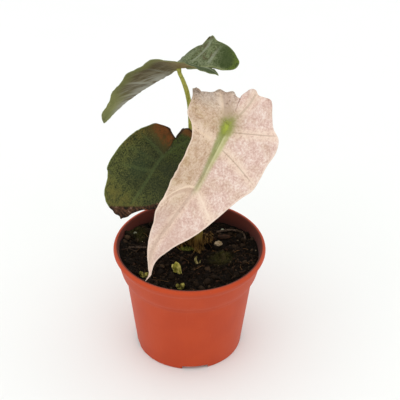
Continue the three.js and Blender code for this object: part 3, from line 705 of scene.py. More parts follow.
TOP_LEAF = {
    "rib": [[-25.2, 18.2, -1.5, 124.6], [-13.3, 8.3, 2.2, 126], [-5.1, 0.4, 4.3, 124.8], [0, -4.5, 5, 124.3],
            [6.3, -9.2, 6, 121], [14, -14.3, 8, 116], [23.4, -20.6, 10.8, 109.6], [32.5, -26.3, 13.4, 102.8],
            [40.6, -30.8, 15.6, 96.1], [45.3, -33.4, 17, 92.3]],
    "up": [-0.3, 0.35, 0.75],
    "lift": [[-26, 50, -4], [-14, 48, 6], [-9, 42, 14], [-5, 30, 19], [-1, 17, 20.5], [3, 12, 29], [8, 8, 33],
             [30, 16, 35], [46, 20, 30]],
    "curl": [[-26, 0, 0], [46, 0, 0]],
    "veins": [
        [0, -12.6, 0, -12.6, 0], [0, -16.6, 0.1, -14.3, 3.2], [0, -21.2, 2.2, -16.6, 5.6],
        [0, -22, 5, -18, 7.6], [0, -20, 7, -17.2, 9.2], [0, -16.4, 9.8, -15.6, 10.8],
        [0, -12.2, 11.8, -12.4, 12.3], [0, -10, 14.5, -8.7, 12.3], [0, -7.9, 12.4, -4.9, 11.5],
        [0, -3.9, 12.1, -1.6, 11.3], [0, 0.6, 10.6, 1.2, 15], [2, 5, 12.4, 5.4, 13.1],
        [5, 9, 12.2, 10, 12.4], [8.5, 14, 12.2, 15, 12], [12.5, 18, 10.8, 19.3, 10.2],
        [17, 22.5, 9.8, 24.2, 9], [21.5, 27, 8.4, 28.2, 7.7], [26.5, 31, 6.6, 31.8, 5.9],
        [31.5, 35, 5.2, 36, 4.8], [36, 39, 4, 40, 4.1], [41, 42.6, 2, 43.2, 2.2], [45.3, 45.6, 0, 45.6, 0],
    ],
    "lines": {
        "peak": (1, "out", (0.083, -2.07, 2.9), 4.4, 12.4), "lobe": (1, "out", (-0.33, -10.3), 2, 8.4),
        "sliver": (-1, "on", (-0.7, -4.5), -18, -7), "fore": (1, "out", (0.18, 0.4), 0.5, 13),
        "low": (1, "out", (0.35, 8.5), 0.5, 12), "far": (1, "out", (0.6, 21.5), 0.5, 9),
        "under": (-1, "out", (0.3, 4), 0.5, 12), "under_low": (-1, "out", (0.79, 13.2), 0.8, 8),
    },
    "rib_height": 0.35, "rib_width": 0.9, "rib_end": 46, "wave": 0.25, "waves": 2.1, "swell": 0.35, "seed": 5,
    "dry": [0, 0, 0], "crisp": 0,
    "stalk": [[0.6, 10.5, STEM_FOOT, 1.9], [0.6, 10.4, 46, 1.6], [0.5, 10.3, 66, 1.25], [0.3, 10.4, 84, 0.95],
              [0, 10.1, 95, 0.85], [-0.4, 8.8, 105, 0.85], [-1.4, 7.5, 112.4, 0.9],
              [-2.9, 6.3, 118.2, 0.8]],
    "tip": 0.75,
}
LEFT_LEAF = {
    "rib": [[-17, -2.2, 12.6, 97.6], [-7, -5.6, 8.6, 91.6], [-0.6, -8.9, 5.4, 86.9],
            [3.6, -11.6, 3.6, 84.1], [12.2, -16.1, 0.2, 77.5], [18.6, -19.5, -2.4, 72.6],
            [26.1, -23.7, -4.2, 66.8], [31.1, -26.2, -5, 62.6]],
    "up": [-0.25, -0.45, 0.86],
    "lift": [[-17, 12, 12], [-5, 12, 12], [31, 12, 6]],
    "curl": [[-17, -10, -14], [31, -10, -10]],
    "veins": [
        [0, -6.7, 0, -6.7, 0], [0, -7.9, 2.2, -8.6, 0.6], [0, -9.2, 3.6, -11.8, 0.85],
        [0, -9.35, 4.4, -12.3, 1.7], [0, -9.3, 5.6, -13.2, 4], [0, -8.9, 7.5, -12, 7.6],
        [0, -8.2, 9.8, -10.9, 11.2], [0, -6.1, 11.9, -9.1, 14.4], [0, -3.3, 14.1, -6.2, 16.2],
        [0, 0.2, 15.3, -2.6, 16.2], [0, 3, 16.1, 0, 15.5], [1, 6, 16.8, 3.6, 15], [3, 9.4, 17.5, 7.4, 15.4],
        [5.5, 12.8, 17.8, 11, 15.3], [8.5, 16.6, 17.2, 14, 14], [12, 20.6, 16.4, 16.6, 12.3],
        [15.5, 24, 14.2, 19, 9.4], [19, 27.6, 12.2, 21.6, 6.2], [22.5, 29.8, 10.2, 24.6, 3.8],
        [26, 30.7, 7.6, 27.4, 2.2], [29, 31.1, 4, 29.6, 1], [31.1, 31.1, 0, 31.1, 0],
    ],
    "lines": {
        "rib": (1, "on", (0, 0), 1, 24), "corner": (-1, "on", (0.0596, -0.28, 0.725), -9, 2),
        "side": (1, "out", (-0.12, 1.5), 0.6, 15), "mid": (1, "out", (0.1, 4.6), 0.6, 14),
        "low": (1, "out", (0.35, 8.5), 0.6, 13), "inner": (-1, "out", (0.3, 6), 0.6, 12),
        "inner_low": (-1, "out", (0.45, 13), 0.6, 9),
    },
    "rib_height": 0.3, "rib_width": 0.9, "rib_end": 31, "wave": 0.25, "waves": 2.3, "swell": 0.35, "seed": 7,
    "dry": [25.1, 0.74, 0.84], "crisp": 0.6,
    "stalk": [[-4.2, 8.8, STEM_FOOT, 1.8], [-4, 9.6, 46, 1.5], [-4.4, 11, 64, 1.15], [-6.4, 10.4, 77, 1]],
    "tip": 0.9,
}
LEAVES = {"pink": PINK_LEAF, "top": TOP_LEAF, "left": LEFT_LEAF}


# Sizes of the pot, in millimetres

RIM_RISE = 0.55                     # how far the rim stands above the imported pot's
RIM_RADIUS = extent("pot")[1][0]
POT_HEIGHT = 2 * extent("pot")[1][2] + RIM_RISE
MOUTH_RADIUS = RIM_RADIUS - 2
COLLAR_RADIUS = 27.2
COLLAR_BOTTOM = 34.8
SHOULDER_RADIUS = 25.1
BASE_RADIUS = 20.9
LIP_BOTTOM = 44.0
WALL = 1.0
FLOOR = 2.4
DRAINS = {                          # lengths in metres, for the tree, and an angle in radians
    "Drains": 4, "First drain": -1.44, "Channel length": 10 * MM, "Channel width": 10.4 * MM,
    "Channel depth": 1.6 * MM, "Channel place": 18.4 * MM, "Hole radius": 2 * MM, "Hole place": 16.3 * MM,
}


def wall_radius(z):
    return BASE_RADIUS + 0.1 + (SHOULDER_RADIUS - BASE_RADIUS - 0.1) * (z - 0.3) / (COLLAR_BOTTOM - 1.8)


LOOKS = {
    "pink": look("pink_blade_skin", pink_paint, DULL),
    "top": look("grey_green_blade_skin", top_paint, SATIN),
    "left": look("dark_green_blade_skin", left_paint, SATIN),
    "stalk": look("stalk_skin", stalk_paint, SATIN),
    "mix": mix_look("potting_mix", "#100b07", "#33261a"),
    "crumb": mix_look("mix_crumb", "#130d08", "#4d3b2a", 0.25),
    "fibre": mix_look("peat_fibre", "#2a1b10", "#85603c"),
    "grit": mix_look("mix_grit", "#4a3a28", "#c4b28e"),
    "chip": speckled("bark_chip", ("#291910", "#402718", "#160e08"), 0.5, 0.6),
    "crown": speckled("crown_fibre", ("#2c1b0d", "#86683a", "#110a06"), 0.6, 0.7, 0.1, (1, 1, 0.3)),
    "root": speckled("root_skin", ("#34281d", "#54453a", "#1a120c"), 0.5, 0.75),
    "shoot": speckled("young_shoot", ("#8f8a35", "#cdbf6e", "#4a4519"), 0.6, 0.55, 0.1, (1, 1, 0.4)),
    "dim_shoot": speckled("dim_shoot", ("#57531f", "#a79c50", "#262310"), 0.5, 0.65, 0.1),
    "curl": speckled("curled_shoot", ("#625c30", "#98895a", "#2e2a14"), 0.5, 0.7, 0.1),
    "moss": speckled("moss_leaf", ("#454a18", "#85853c", "#1c200b"), 0.4, 0.75),
    "granule": speckled("tan_granule", ("#8b7858", "#a8957a", "#58452c"), 0.5, 0.8),
    "perlite": speckled("pale_foam_grain", ("#7d7f6a", "#a1a390", "#4c4f3c"), 0.4, 0.8),
    "pot": look("moulded_terracotta_plastic", pot_paint, PLASTIC),
}


BLADE = 0.45                        # thickness of the finished blade
BETWEEN = 9                         # lines between two rows of a blade's table
RINGS = 34                          # steps from the rib to the margin
FURROW = (0.14, 0.5)                # depth and width of a vein in the upper face
RIDGE = (0.3, 0.7)                  # and of the ridge under it
BLISTERS = [[0.16, 2.6], [0.07, 1.1]]           # height and size of the small lumps all over a blade
CRINKLE = (0.22, 1.7)               # and of those along the margin
VEIN_REACH = 9.0                    # farther than this, a vein counts no more
CURL_REACH = 20                     # millimetres in which a half turns by its curl
EDGE_BULGE = 0.45                   # how far the margin stands out, as a share of half the thickness


def blade_point(leaf, s, t):
    """Where flat points (s, t) of a blade lie: along the rib, then out at each half's lift, curling."""
    at, ahead = (np.stack([along(leaf["rib"], s, column, slope) for column in (1, 2, 3)], -1)
                 for slope in (False, True))
    ahead, up = unit(ahead), np.asarray(leaf["up"], float)
    up = unit(up - (ahead @ up)[..., None] * ahead)
    out = np.cross(ahead, up) * np.where(t < 0, -1.0, 1.0)[..., None]
    lift, curl = (np.radians(np.where(t < 0, held(leaf[key], s, 2), held(leaf[key], s, 1)))[..., None]
                  for key in ("lift", "curl"))
    curl = curl / CURL_REACH
    curl = np.where(abs(curl) < 1e-7, 1e-7, curl)
    level = out * np.cos(lift) + up * np.sin(lift)
    rise = up * np.cos(lift) - out * np.sin(lift)
    turn = curl * abs(t)[..., None]
    return at + level * np.sin(turn) / curl + rise * (1 - np.cos(turn)) / curl


def vein_gap(line, s, t):
    """Millimetres from flat points to a vein's line."""
    half, way, curve, low, high = line
    u, v = (half * t, s) if way == "out" else (s, half * t)
    slope = np.polyval(np.polyder(curve), u)
    gap = abs(v - np.polyval(curve, u)) / np.sqrt(1 + slope ** 2)
    return np.hypot(gap, np.maximum(0, np.maximum(low - u, u - high)))


def blade_lines(leaf, side):
    """One half of the flat blade as a grid of lines from the rib to the margin: s, t, the share of
    the way out, millimetres to the nearest main vein, millimetres to the margin, and the wave."""
    rows = [[i, *row] for i, row in enumerate(leaf["veins"])]
    last = len(rows) - 1
    i = np.linspace(0, last, last * BETWEEN + 1)
    start = np.maximum(0, along(rows, i, 1))[:, None]
    end_s = along(rows, i, 2 if side > 0 else 4)[:, None]
    end_t = np.maximum(0, along(rows, i, 3 if side > 0 else 5))[:, None]
    even = np.linspace(0, 1, RINGS + 1)
    f = (even - 0.75 * np.sin(2 * np.pi * even) / (2 * np.pi))[None, :]
    s = start + (end_s - start) * f ** 1.25
    t = side * end_t * f + 0 * s
    gap = np.full(s.shape, VEIN_REACH)
    for line in leaf["lines"].values():
        gap = np.minimum(gap, vein_gap(line, s, t))
    margin = (1 - f) * np.hypot(end_s - start, end_t)
    fade = smooth(last - i, 0, last / 4)[:, None]
    wave = leaf["wave"] * f ** 3 * np.sin(leaf["waves"] * i[:, None] + side) * fade
    return np.stack([s, t, f + 0 * s, gap, margin, wave], -1)


def blade_sheet(leaf):
    """The two halves joined along the rib: their facts at each point, the faces, and each point's
    middle place and normal on the bent blade."""
    halves = [blade_lines(leaf, side) for side in (1, -1)]
    rows, rings = halves[0].shape[:2]
    facts = np.concatenate([half.reshape(-1, 6) for half in halves])
    key = np.round(facts[:, :2], 3) + 0.0
    _, first, where = np.unique(key, axis=0, return_index=True, return_inverse=True)
    facts = facts[first]
    faces = []
    for grid, side in zip(where.ravel().reshape(2, rows, rings), (1, -1)):
        for j in range(rows - 1):
            for k in range(rings - 1):
                loop = [grid[j, k], grid[j, k + 1], grid[j + 1, k + 1], grid[j + 1, k]]
                loop = [p for n, p in enumerate(loop) if p != loop[n - 1]]
                if len(loop) > 2:
                    faces.append(loop if side > 0 else loop[::-1])
    middle = blade_point(leaf, facts[:, 0], facts[:, 1])
    normal = np.zeros_like(middle)
    for loop in faces:
        a, b, c = middle[loop[0]], middle[loop[1]], middle[loop[2]]
        normal[loop] += np.cross(b - a, c - a)
    if (unit(normal) @ np.asarray(leaf["up"])).mean() < 0:
        faces, normal = [loop[::-1] for loop in faces], -normal
    return facts, faces, middle, unit(normal)


def blade_relief(leaf, facts):
    """How far a blade's middle, upper face and under face stand off its bent sheet."""
    s, t, f, gap, margin, wave = facts.T
    seed = leaf["seed"]
    pillow = leaf["swell"] * (1 - np.exp(-(gap / 2.4) ** 2)) * np.sin(np.pi * f ** 0.8)
    blister = sum(height * lumps(s, t, size, seed + i) for i, (height, size) in enumerate(BLISTERS))
    crisp = leaf["crisp"]
    dry = smooth(dryness(leaf, s, np.maximum(t, 0), np.minimum(t, 0)) * np.sign(crisp), 0, 2.5)
    height, size = CRINKLE
    crinkle = (height * smooth(f, 0.8, 1) + abs(crisp) * dry) * lumps(s, t, size, seed + 2)
    push = wave + pillow + blister * np.clip(margin / 2.5, 0, 1) + crinkle
    rib_share = smooth(leaf["rib_end"] - s, 0, leaf["rib_end"]) * smooth(s, -2.5, 0.5)
    rib_width = leaf["rib_width"] * (0.35 + 0.65 * rib_share)
    rib = leaf["rib_height"] * rib_share * np.exp(-(abs(t) / rib_width) ** 2.6)
    keel = leaf["rib_height"] * rib_share + 0.2 * smooth(s, -1, 0)
    keel = keel * np.exp(-(abs(t) / (0.8 * rib_width)) ** 2)
    half_thick = BLADE / 2 * (0.55 + 0.45 * smooth(margin, 0, 1.6))
    furrow, ridge = (depth * np.exp(-(gap / width) ** 2) * (1 - 0.75 * f) for depth, width in (FURROW, RIDGE))
    return push, push + half_thick + rib - furrow, push - half_thick - keel - ridge, half_thick


def leaf_blade(name, leaf, material):
    facts, faces, middle, normal = blade_sheet(leaf)
    push, top, under, half_thick = blade_relief(leaf, facts)
    n = len(facts)
    edges = {}
    for loop in faces:
        for i, p in enumerate(loop):
            q = loop[(i + 1) % len(loop)]
            if (q, p) in edges:
                del edges[(q, p)]
            else:
                edges[(p, q)] = True
    rim = sorted({p for edge in edges for p in edge})
    outward = np.zeros_like(middle)
    for p, q in edges:
        step = np.cross(middle[q] - middle[p], normal[p])
        outward[p] += step
        outward[q] += step
    lip = dict(zip(rim, range(2 * n, 2 * n + len(rim))))
    edge = (middle + normal * push[:, None] + EDGE_BULGE * half_thick[:, None] * unit(outward))[rim]
    points = np.concatenate([middle + normal * top[:, None], middle + normal * under[:, None], edge])
    bands = [band for p, q in edges for band in
             ([q, p, lip[p], lip[q]], [lip[q], lip[p], p + n, q + n])]
    faces = faces + [[p + n for p in loop[::-1]] for loop in faces] + bands
    flat = facts[:, :3]
    above, below, between = (np.column_stack([facts[:, 3:5], np.full(n, side)]) for side in (0, 1, 0.5))
    attributes = {"blade": np.concatenate([flat, flat, flat[rim]]),
                  "veins": np.concatenate([above, below, between[rim]])}
    return piece(name, points, faces, material, attributes)


for name, leaf in LEAVES.items():
    dress(leaf_blade(name + "_blade", leaf, LOOKS[name]), "leaf_" + name, "leaf_" + name)


def stalk(name, leaf):
    """A tapering stalk that ends in its blade's underside, square on."""
    zero, one = np.zeros(1), np.ones(1)
    ahead = blade_point(leaf, one, zero) - blade_point(leaf, -one, zero)
    across = blade_point(leaf, zero, one) - blade_point(leaf, zero, -one)
    normal = unit(np.cross(ahead, across))[0]
    normal *= np.sign(normal @ np.asarray(leaf["up"]))
    join = blade_point(leaf, zero, zero)[0]
    reach, tip = leaf["rib_height"] + BLADE, leaf["tip"]
    end = [[*(join - below * normal), tip * width]
           for below, width in ((reach + 1.2, 1), (reach + 0.3, 1.1), (0.1, 1.3))]
    return swept(name, [leaf["stalk"] + end], LOOKS["stalk"], sides=20, step=0.5, ripple=0.12,
                 ripple_size=1.6, groove=0.25)


for name, leaf in LEAVES.items():
    dress(stalk(name + "_leaf_stalk", leaf), "stalk", "stalk_" + name)


# Pot

INSIDE = [                          # height and radius up the inner wall
    [FLOOR, BASE_RADIUS - 0.8 - WALL], [FLOOR + 1, BASE_RADIUS + 0.3 - WALL], [18, wall_radius(18) - WALL],
    [COLLAR_BOTTOM - 1.5, SHOULDER_RADIUS - WALL], [COLLAR_BOTTOM + 1, COLLAR_RADIUS - WALL],
    [42.3, MOUTH_RADIUS - 0.7], [POT_HEIGHT - 0.8, MOUTH_RADIUS],
]
EASE = 0.8                          # how far from a corner its curve starts
POT_SPOKES = 160
SHARP_EDGE = 40                     # degrees


def inside_radius(z):
    return np.interp(z, *zip(*INSIDE))


def eased(outline, cut, steps=4):
    """The same outline with each corner eased over a short curve."""
    made = [outline[0]]
    for before, corner, after in zip(outline, outline[1:], outline[2:]):
        before, corner, after = map(np.array, (before, corner, after))
        ends = [corner + (p - corner) * min(cut / np.linalg.norm(p - corner), 0.45) for p in (before, after)]
        for u in np.linspace(0, 1, steps + 1):
            made.append((1 - u) ** 2 * ends[0] + 2 * u * (1 - u) * corner + u * u * ends[1])
    return np.array([*made, outline[-1]])


def drained(start, material):
    """Cuts the radial channels and round holes under the pot's floor."""
    tree, given = plant_tree("drain_channels", DRAINS)
    size = vector(tree, given["Channel length"], given["Channel width"], given["Channel depth"] * 2)
    channel = make(tree, "GeometryNodeMeshCube", {"Size": size})
    hole = make(tree, "GeometryNodeMeshCylinder",
                {"Vertices": 32, "Radius": given["Hole radius"], "Depth": 8 * MM})
    pot = given["Geometry"]
    for cutter, place in ((channel, given["Channel place"]), (hole, given["Hole place"])):
        cutter = node_after("Transform", cutter, Translation=vector(tree, place))
        points = make(tree, "GeometryNodePoints", {"Count": given["Drains"]})
        turn = make(tree, "GeometryNodeInputIndex") * (2 * math.pi) / given["Drains"] + given["First drain"]
        cutters = make(tree, "GeometryNodeInstanceOnPoints",
                       {"Points": points, "Instance": cutter, "Rotation": vector(tree, z=turn)})
        pot = make(tree, "GeometryNodeMeshBoolean",
                   {"Mesh 1": pot, "Mesh 2": node_after("RealizeInstances", cutters)},
                   operation="DIFFERENCE", solver="EXACT")
    end_tree(pot, material, rounded=False)
    return grown("nursery_pot", start, tree, DRAINS)


def nursery_pot():
    flare = RIM_RADIUS - COLLAR_RADIUS
    outline = [
        [0, 0], [BASE_RADIUS - 0.3, 0], [BASE_RADIUS + 0.1, 0.3], *[[wall_radius(z), z] for z in (8, 18, 30)],
        [SHOULDER_RADIUS, COLLAR_BOTTOM - 2.1], [SHOULDER_RADIUS + 0.5, COLLAR_BOTTOM - 1.2],
        [COLLAR_RADIUS - 0.5, COLLAR_BOTTOM + 0.6], [COLLAR_RADIUS, COLLAR_BOTTOM + 2.1],
        [COLLAR_RADIUS + 0.3 * flare, 40.6], [COLLAR_RADIUS + 0.45 * flare, 42.5],
        [RIM_RADIUS - 0.5, LIP_BOTTOM + 0.1], [RIM_RADIUS, LIP_BOTTOM + 1.1],
        [RIM_RADIUS - 0.05, POT_HEIGHT - 0.9], [RIM_RADIUS - 0.4, POT_HEIGHT - 0.1],
        [RIM_RADIUS - 0.9, POT_HEIGHT], [MOUTH_RADIUS + 0.2, POT_HEIGHT - 0.15],
        *[[r, z] for z, r in reversed(INSIDE)], [0, FLOOR],
    ]
    (radius, z), (cos, sin) = eased(outline, EASE)[-2:0:-1].T[..., None], circle(POT_SPOKES)
    rings = np.stack([radius * cos, radius * sin, z + 0 * cos], -1)
    points, faces = closed_rings(rings, [0, 0, FLOOR], [0, 0, 0])
    return drained(piece("pot_wall", points, faces, LOOKS["pot"]), LOOKS["pot"])


pot = dress(nursery_pot(), "pot", "pot")
pot.data.set_sharp_from_angle(angle=math.radians(SHARP_EDGE))


# Potting mix

SOIL_LEVEL = 39.8
BANK = 0.0046                       # rise towards the two sides, a square millimetre
HEAP = 1.4                          # extra height against the left wall
DIP = 0.6                           # how much lower the mix lies at the back
SOIL_EDGE = 25.5
MIX_WALL = 27.0                     # radius at which the banked level is taken to the wall
RELIEF = [[0.6, 3.4, 11], [0.4, 1.5, 12], [0.18, 0.7, 13]]      # height, size of the lumps, seed
MIX_RINGS = 90
MIX_SPOKES = 260
OPEN_SHARE = 0.985                  # how far out towards the wall bits may lie
FIBRE_SHARE = 0.86                  # and the longer fibres
LOOSE = ["granule", "perlite_left", "perlite_back", "bark", "moss", "shoot_front", "shoot_rim", "shoot_left",
         "shoot_curl"]
CROWN = [6.4, 11.6]
STEMS = [[*leaf["stalk"][0][:2], radius]        # x, y, radius of what stands in the mix
         for leaf, radius in zip(LEAVES.values(), (2.2, 2.2, 2.1))] + [[*CROWN, 3.0]]


def soil_base(x, y):
    """Level of the mix, banked up at the two sides of the pot."""
    heaped = HEAP * smooth(np.hypot(x, y), 21, SOIL_EDGE) * smooth(-x, 6, 16)
    return SOIL_LEVEL + BANK * x * x - DIP * smooth(y, 8, 24) + heaped


def soil_top(x, y):
    """Height of the mix, and how free a place is of the bits that lie on it."""
    z = soil_base(x, y)
    for height, size, seed in RELIEF:
        z = z + height * lumps(x, y, size, seed)
    free = np.ones_like(z)
    for node in LOOSE:
        centre, half = extent(node)
        away = np.hypot(x - centre[0], y - centre[1]) - max(half[:2])
        seat = centre[2] - half[2] + 0.12
        z = seat + (z - seat) * smooth(away, -0.2, 1.8)
        free = free * smooth(away, -0.3, 0.8)
    for stem_x, stem_y, radius in STEMS:
        free = free * smooth(np.hypot(x - stem_x, y - stem_y) - radius, -0.3, 0.6)
    return z, free


def potting_mix():
    cos, sin = circle(MIX_SPOKES)
    edge = inside_radius(soil_base(MIX_WALL * cos, MIX_WALL * sin) - 1) - 0.1
    share = ((np.arange(MIX_RINGS) + 1) / MIX_RINGS) ** 0.85
    x, y = edge * cos * share[:, None], edge * sin * share[:, None]
    z, free = soil_top(x, y)
    rings = [*np.stack([x, y, z], -1)]
    inset = [[COLLAR_BOTTOM + 1, 0.3], [COLLAR_BOTTOM - 1.5, 0.3], [FLOOR + 1.5, 0.3], [FLOOR + 0.3, 0.6]]
    for level, gap in inset:
        radius = inside_radius(level) - gap
        rings.append(np.stack([radius * cos, radius * sin, level + 0 * cos], -1))
    centre, _ = soil_top(np.zeros(1), np.zeros(1))
    points, faces = closed_rings(np.array(rings), [0, 0, centre[0]], [0, 0, FLOOR + 0.3])
    below = np.zeros(len(inset) * MIX_SPOKES + 1)
    fields = {}
    for field, limit in (("free", OPEN_SHARE), ("inner", FIBRE_SHARE)):
        fields[field] = np.concatenate([[0], free.ravel() * (share < limit).repeat(MIX_SPOKES), below])
    return piece("potting_mix", points, faces, LOOKS["mix"], fields)


mix = potting_mix()


def crumb_shape(tree):
    return make(tree, "GeometryNodeMeshIcoSphere", {"Radius": 1.0, "Subdivisions": 2})


def chip_shape(tree):
    return make(tree, "GeometryNodeMeshCube",
                {"Size": vector(tree, 2.2, 0.9, 0.35), "Vertices X": 5, "Vertices Y": 3, "Vertices Z": 2})


def fibre_shape(tree):
    line = make(tree, "GeometryNodeCurvePrimitiveLine", {"Start": (-1.0, 0.0, 0.0), "End": (1.0, 0.0, 0.0)})
    line = make(tree, "GeometryNodeResampleCurve", {"Curve": line, "Count": 9}, mode="COUNT")
    x = make(tree, "GeometryNodeInputPosition").parts()[0]
    bow = vector(tree, 0.0, (x * 1.5).sine() * 0.2, (1 - x * x) * 0.22)
    return node_after("SetPosition", line, Offset=bow)


def scattered(name, shape, material, sizes, field="free"):
    """Shapes strewn over the open mix, each turned and sized at random, and most of them small."""
    tree, given = plant_tree(name + "_tree", sizes)
    values = {"Mesh": given["Geometry"], "Distance Min": given["Spacing"], "Density Max": given["Density"],
              "Density Factor": recalled(tree, field), "Seed": given["Seed"]}
    points = make(tree, "GeometryNodeDistributePointsOnFaces", values, distribute_method="POISSON")

    def own(low, high, step):
        return make(tree, "FunctionNodeRandomValue", {2: low, 3: high, 8: given["Seed"] + step}, 1,
                    data_type="FLOAT")

    tilt_x, tilt_y = (own(-1.0, 1.0, step) * given["Tilt"] for step in (1, 2))
    turn = vector(tree, tilt_x, tilt_y, own(0.0, 6.283, 3))
    size = given["Smallest"] + (given["Largest"] - given["Smallest"]) * own(0.0, 1.0, 4) ** 2.2
    scale = vector(tree, own(0.75, 1.3, 5), own(0.75, 1.3, 6), own(0.6, 1.0, 7)) * size
    shapes = make(tree, "GeometryNodeInstanceOnPoints",
                  {"Points": points, "Instance": shape(tree), "Rotation": turn, "Scale": scale})
    shapes = node_after("RealizeInstances", stored(shapes, "tint", own(0.0, 1.0, 8), "INSTANCE"))
    rough = (make(tree, "GeometryNodeInputPosition") / given["Rough size"]).noise(1, out="Color") - 0.5
    shapes = node_after("SetPosition", shapes, Offset=rough * given["Rough"])
    if "Thickness" in given:
        shapes = skinned(shapes, round_profile(tree, 5), given["Thickness"])
    end_tree(shapes, material)
    return dress(grown(name, mix, tree, sizes, keep_start=True), "soil")


LENGTHS = ("Spacing", "Smallest", "Largest", "Rough", "Rough size", "Thickness")
PER_SQUARE_CM = 1e4                 # a density in points per square metre
STREWN = [                          # name, shape, look, density a square centimetre, tilt, lengths as above
    ("mix_lumps", crumb_shape, "crumb", 28, 0.8, (1.4, 0.4, 1.5, 1.3, 0.6)),
    ("mix_crumbs", crumb_shape, "crumb", 120, 0.8, (0.5, 0.2, 0.6, 0.4, 0.35)),
    ("bark_chips", chip_shape, "chip", 5, 0.5, (2.5, 0.5, 1.3, 0.5, 0.8)),
    ("peat_fibres", fibre_shape, "fibre", 14, 0.25, (1.6, 1.2, 4.6, 1.2, 2.5, 0.09)),
    ("mix_grit", crumb_shape, "grit", 9, 0.8, (1.6, 0.12, 0.34, 0.15, 0.3)),
]
for seed, (name, shape, skin, density, tilt, lengths) in enumerate(STREWN, 1):
    sizes = {"Density": density * PER_SQUARE_CM, "Seed": seed, "Tilt": tilt,
             **{key: size * MM for key, size in zip(LENGTHS, lengths)}}
    scattered(name, shape, LOOKS[skin], sizes, "inner" if shape is fibre_shape else "free")
dress(mix, "soil", "soil")


# Crown, roots and what grows or lies on the mix

CROWN_FIBRES = 46
FAN_START, FAN = 2.4, 4.2           # angles over which they spread
SHEATHS = [[3.3, 6.2, 1.9, 47], [0.6, 10.4, 1.8, 46.5], [-4.1, 9.3, 1.7, 45]]     # x, y, radius, height
SHEATH_FIBRES = 22
SHEATH_FOOT = 39.6
GOLDEN_TURN = 2.39996


def crown():
    x, y = CROWN
    draw = np.random.default_rng(83)
    strands = [[[x, y, STEM_FOOT, 2.2], [x, y, 38, 2.4], [x, y, 41.6, 2.2], [x - 0.2, y - 0.2, 43, 1.2],
                [x - 0.4, y - 0.3, 43.6, 0.4]]]
    for i in range(CROWN_FIBRES):
        angle = FAN_START + i / CROWN_FIBRES * FAN + 0.3 * draw.random()
        start, reach = 0.4 + 1.9 * draw.random(), 2.6 + 1.4 * draw.random()
        end, top = spot(x, y, reach, angle), 42 + 3 * draw.random()
        strands.append([[*spot(x, y, start, angle), 42.2, 0.2],
                        [*spot(x, y, 0.6 * reach, angle + 0.1), top, 0.17],
                        [*end, soil_base(*end) + 0.3 + 1.6 * draw.random(), 0.08]])
    for foot_x, foot_y, around, height in SHEATHS:
        for i in range(SHEATH_FIBRES):
            angle = i * GOLDEN_TURN + 0.4 * draw.random()
            out, top = around + 0.35 * draw.random(), height - 6 * draw.random() ** 0.6
            lean = angle + 0.5 * draw.uniform(-1, 1)
            tip_x = foot_x + (out + 0.5 * draw.random()) * math.cos(2 * lean - angle)
            tip_y = foot_y + (out + 0.5 * draw.random()) * math.sin(2 * lean - angle)
            strands.append([[*spot(foot_x, foot_y, out + 0.7, angle), SHEATH_FOOT, 0.3],
                            [*spot(foot_x, foot_y, out, lean), 0.5 * (40 + top), 0.2],
                            [tip_x, tip_y, top, 0.07]])
    return swept("crown_fibres", strands, LOOKS["crown"], sides=7, step=0.4, ripple=0.25, ripple_size=0.9)


dress(crown(), "crown", "crown")


SIDE_ROOTS = 6
ROOT_SEAT = 0.55                    # height of the loose bits that a root lies on


def root(name, points, radius, seed):
    """A root that lies on the mix, with a few thin side roots."""
    draw = np.random.default_rng(seed)

    def level(x, y, above):
        return soil_base(x, y) + ROOT_SEAT + above

    strands = [[[x, y, level(x, y, radius) + 0.2, radius * (1 - 0.4 * i / len(points))]
                for i, (x, y) in enumerate(points)]]
    for _ in range(SIDE_ROOTS):
        x, y = points[draw.integers(0, len(points))]
        angle, reach = draw.uniform(0, 6.28), draw.uniform(2, 4.5)
        half, end = spot(x, y, 0.5 * reach, angle), spot(x, y, reach, angle + 0.5)
        if math.hypot(*end) < SOIL_EDGE:
            strands.append([[x, y, level(x, y, 0.2), 0.2], [*half, level(*half, 0.3), 0.15],
                            [*end, level(*end, 0.0) - 0.2, 0.07]])
    return swept(name, strands, LOOKS["root"], sides=9, step=0.4, ripple=0.3, ripple_size=1.2)


RIGHT_ROOT = [[10.8, 15.6], [14.6, 16.4], [18.4, 15.4], [21.4, 12.6], [22.2, 8.6]]
LEFT_ROOT = [[-24, 0.6], [-20.6, 2.8], [-16.6, 3.6], [-12.6, 2.8]]
dress(root("right_root", RIGHT_ROOT, 0.5, 5), "root", "root_right")
dress(root("left_root", LEFT_ROOT, 0.42, 6), "root", "root_left")

SHOOTS = {      # node: place, lobes [foot x, foot y, lean x, lean y, height, radius], radius at the foot
    "shoot_front": ([-4.2, -9.2], [[0.4, -0.6, -1.5, 1, 4.7, 1.2], [-1.1, 0.2, -1.3, 0.6, 3.4, 0.85]], 0.9),
    "shoot_rim": ([-3.4, -19.4], [[-0.4, 0, -0.9, 0.2, 2.2, 0.8], [0.6, 0, 0.6, 0.4, 2.5, 0.9]], 0.7),
    "shoot_left": ([-17.6, -14], [[-0.5, 0, -0.9, 0.6, 2.2, 0.85], [0.7, 0, 0.8, 0.2, 2, 0.8]], 0.7),
}
CURL = [                            # the two halves of a shoot that stand apart: [x, y, z, radius] rows
    [[3.5, -3.7, 39.6, 0.4], [2.7, -3.1, 40.6, 0.5], [2.4, -2.5, 41.6, 0.48], [3, -2, 42.5, 0.2]],
    [[3.8, -3.5, 39.6, 0.3], [4.2, -2.9, 40.6, 0.3], [4.3, -2.6, 41.2, 0.14]],
]


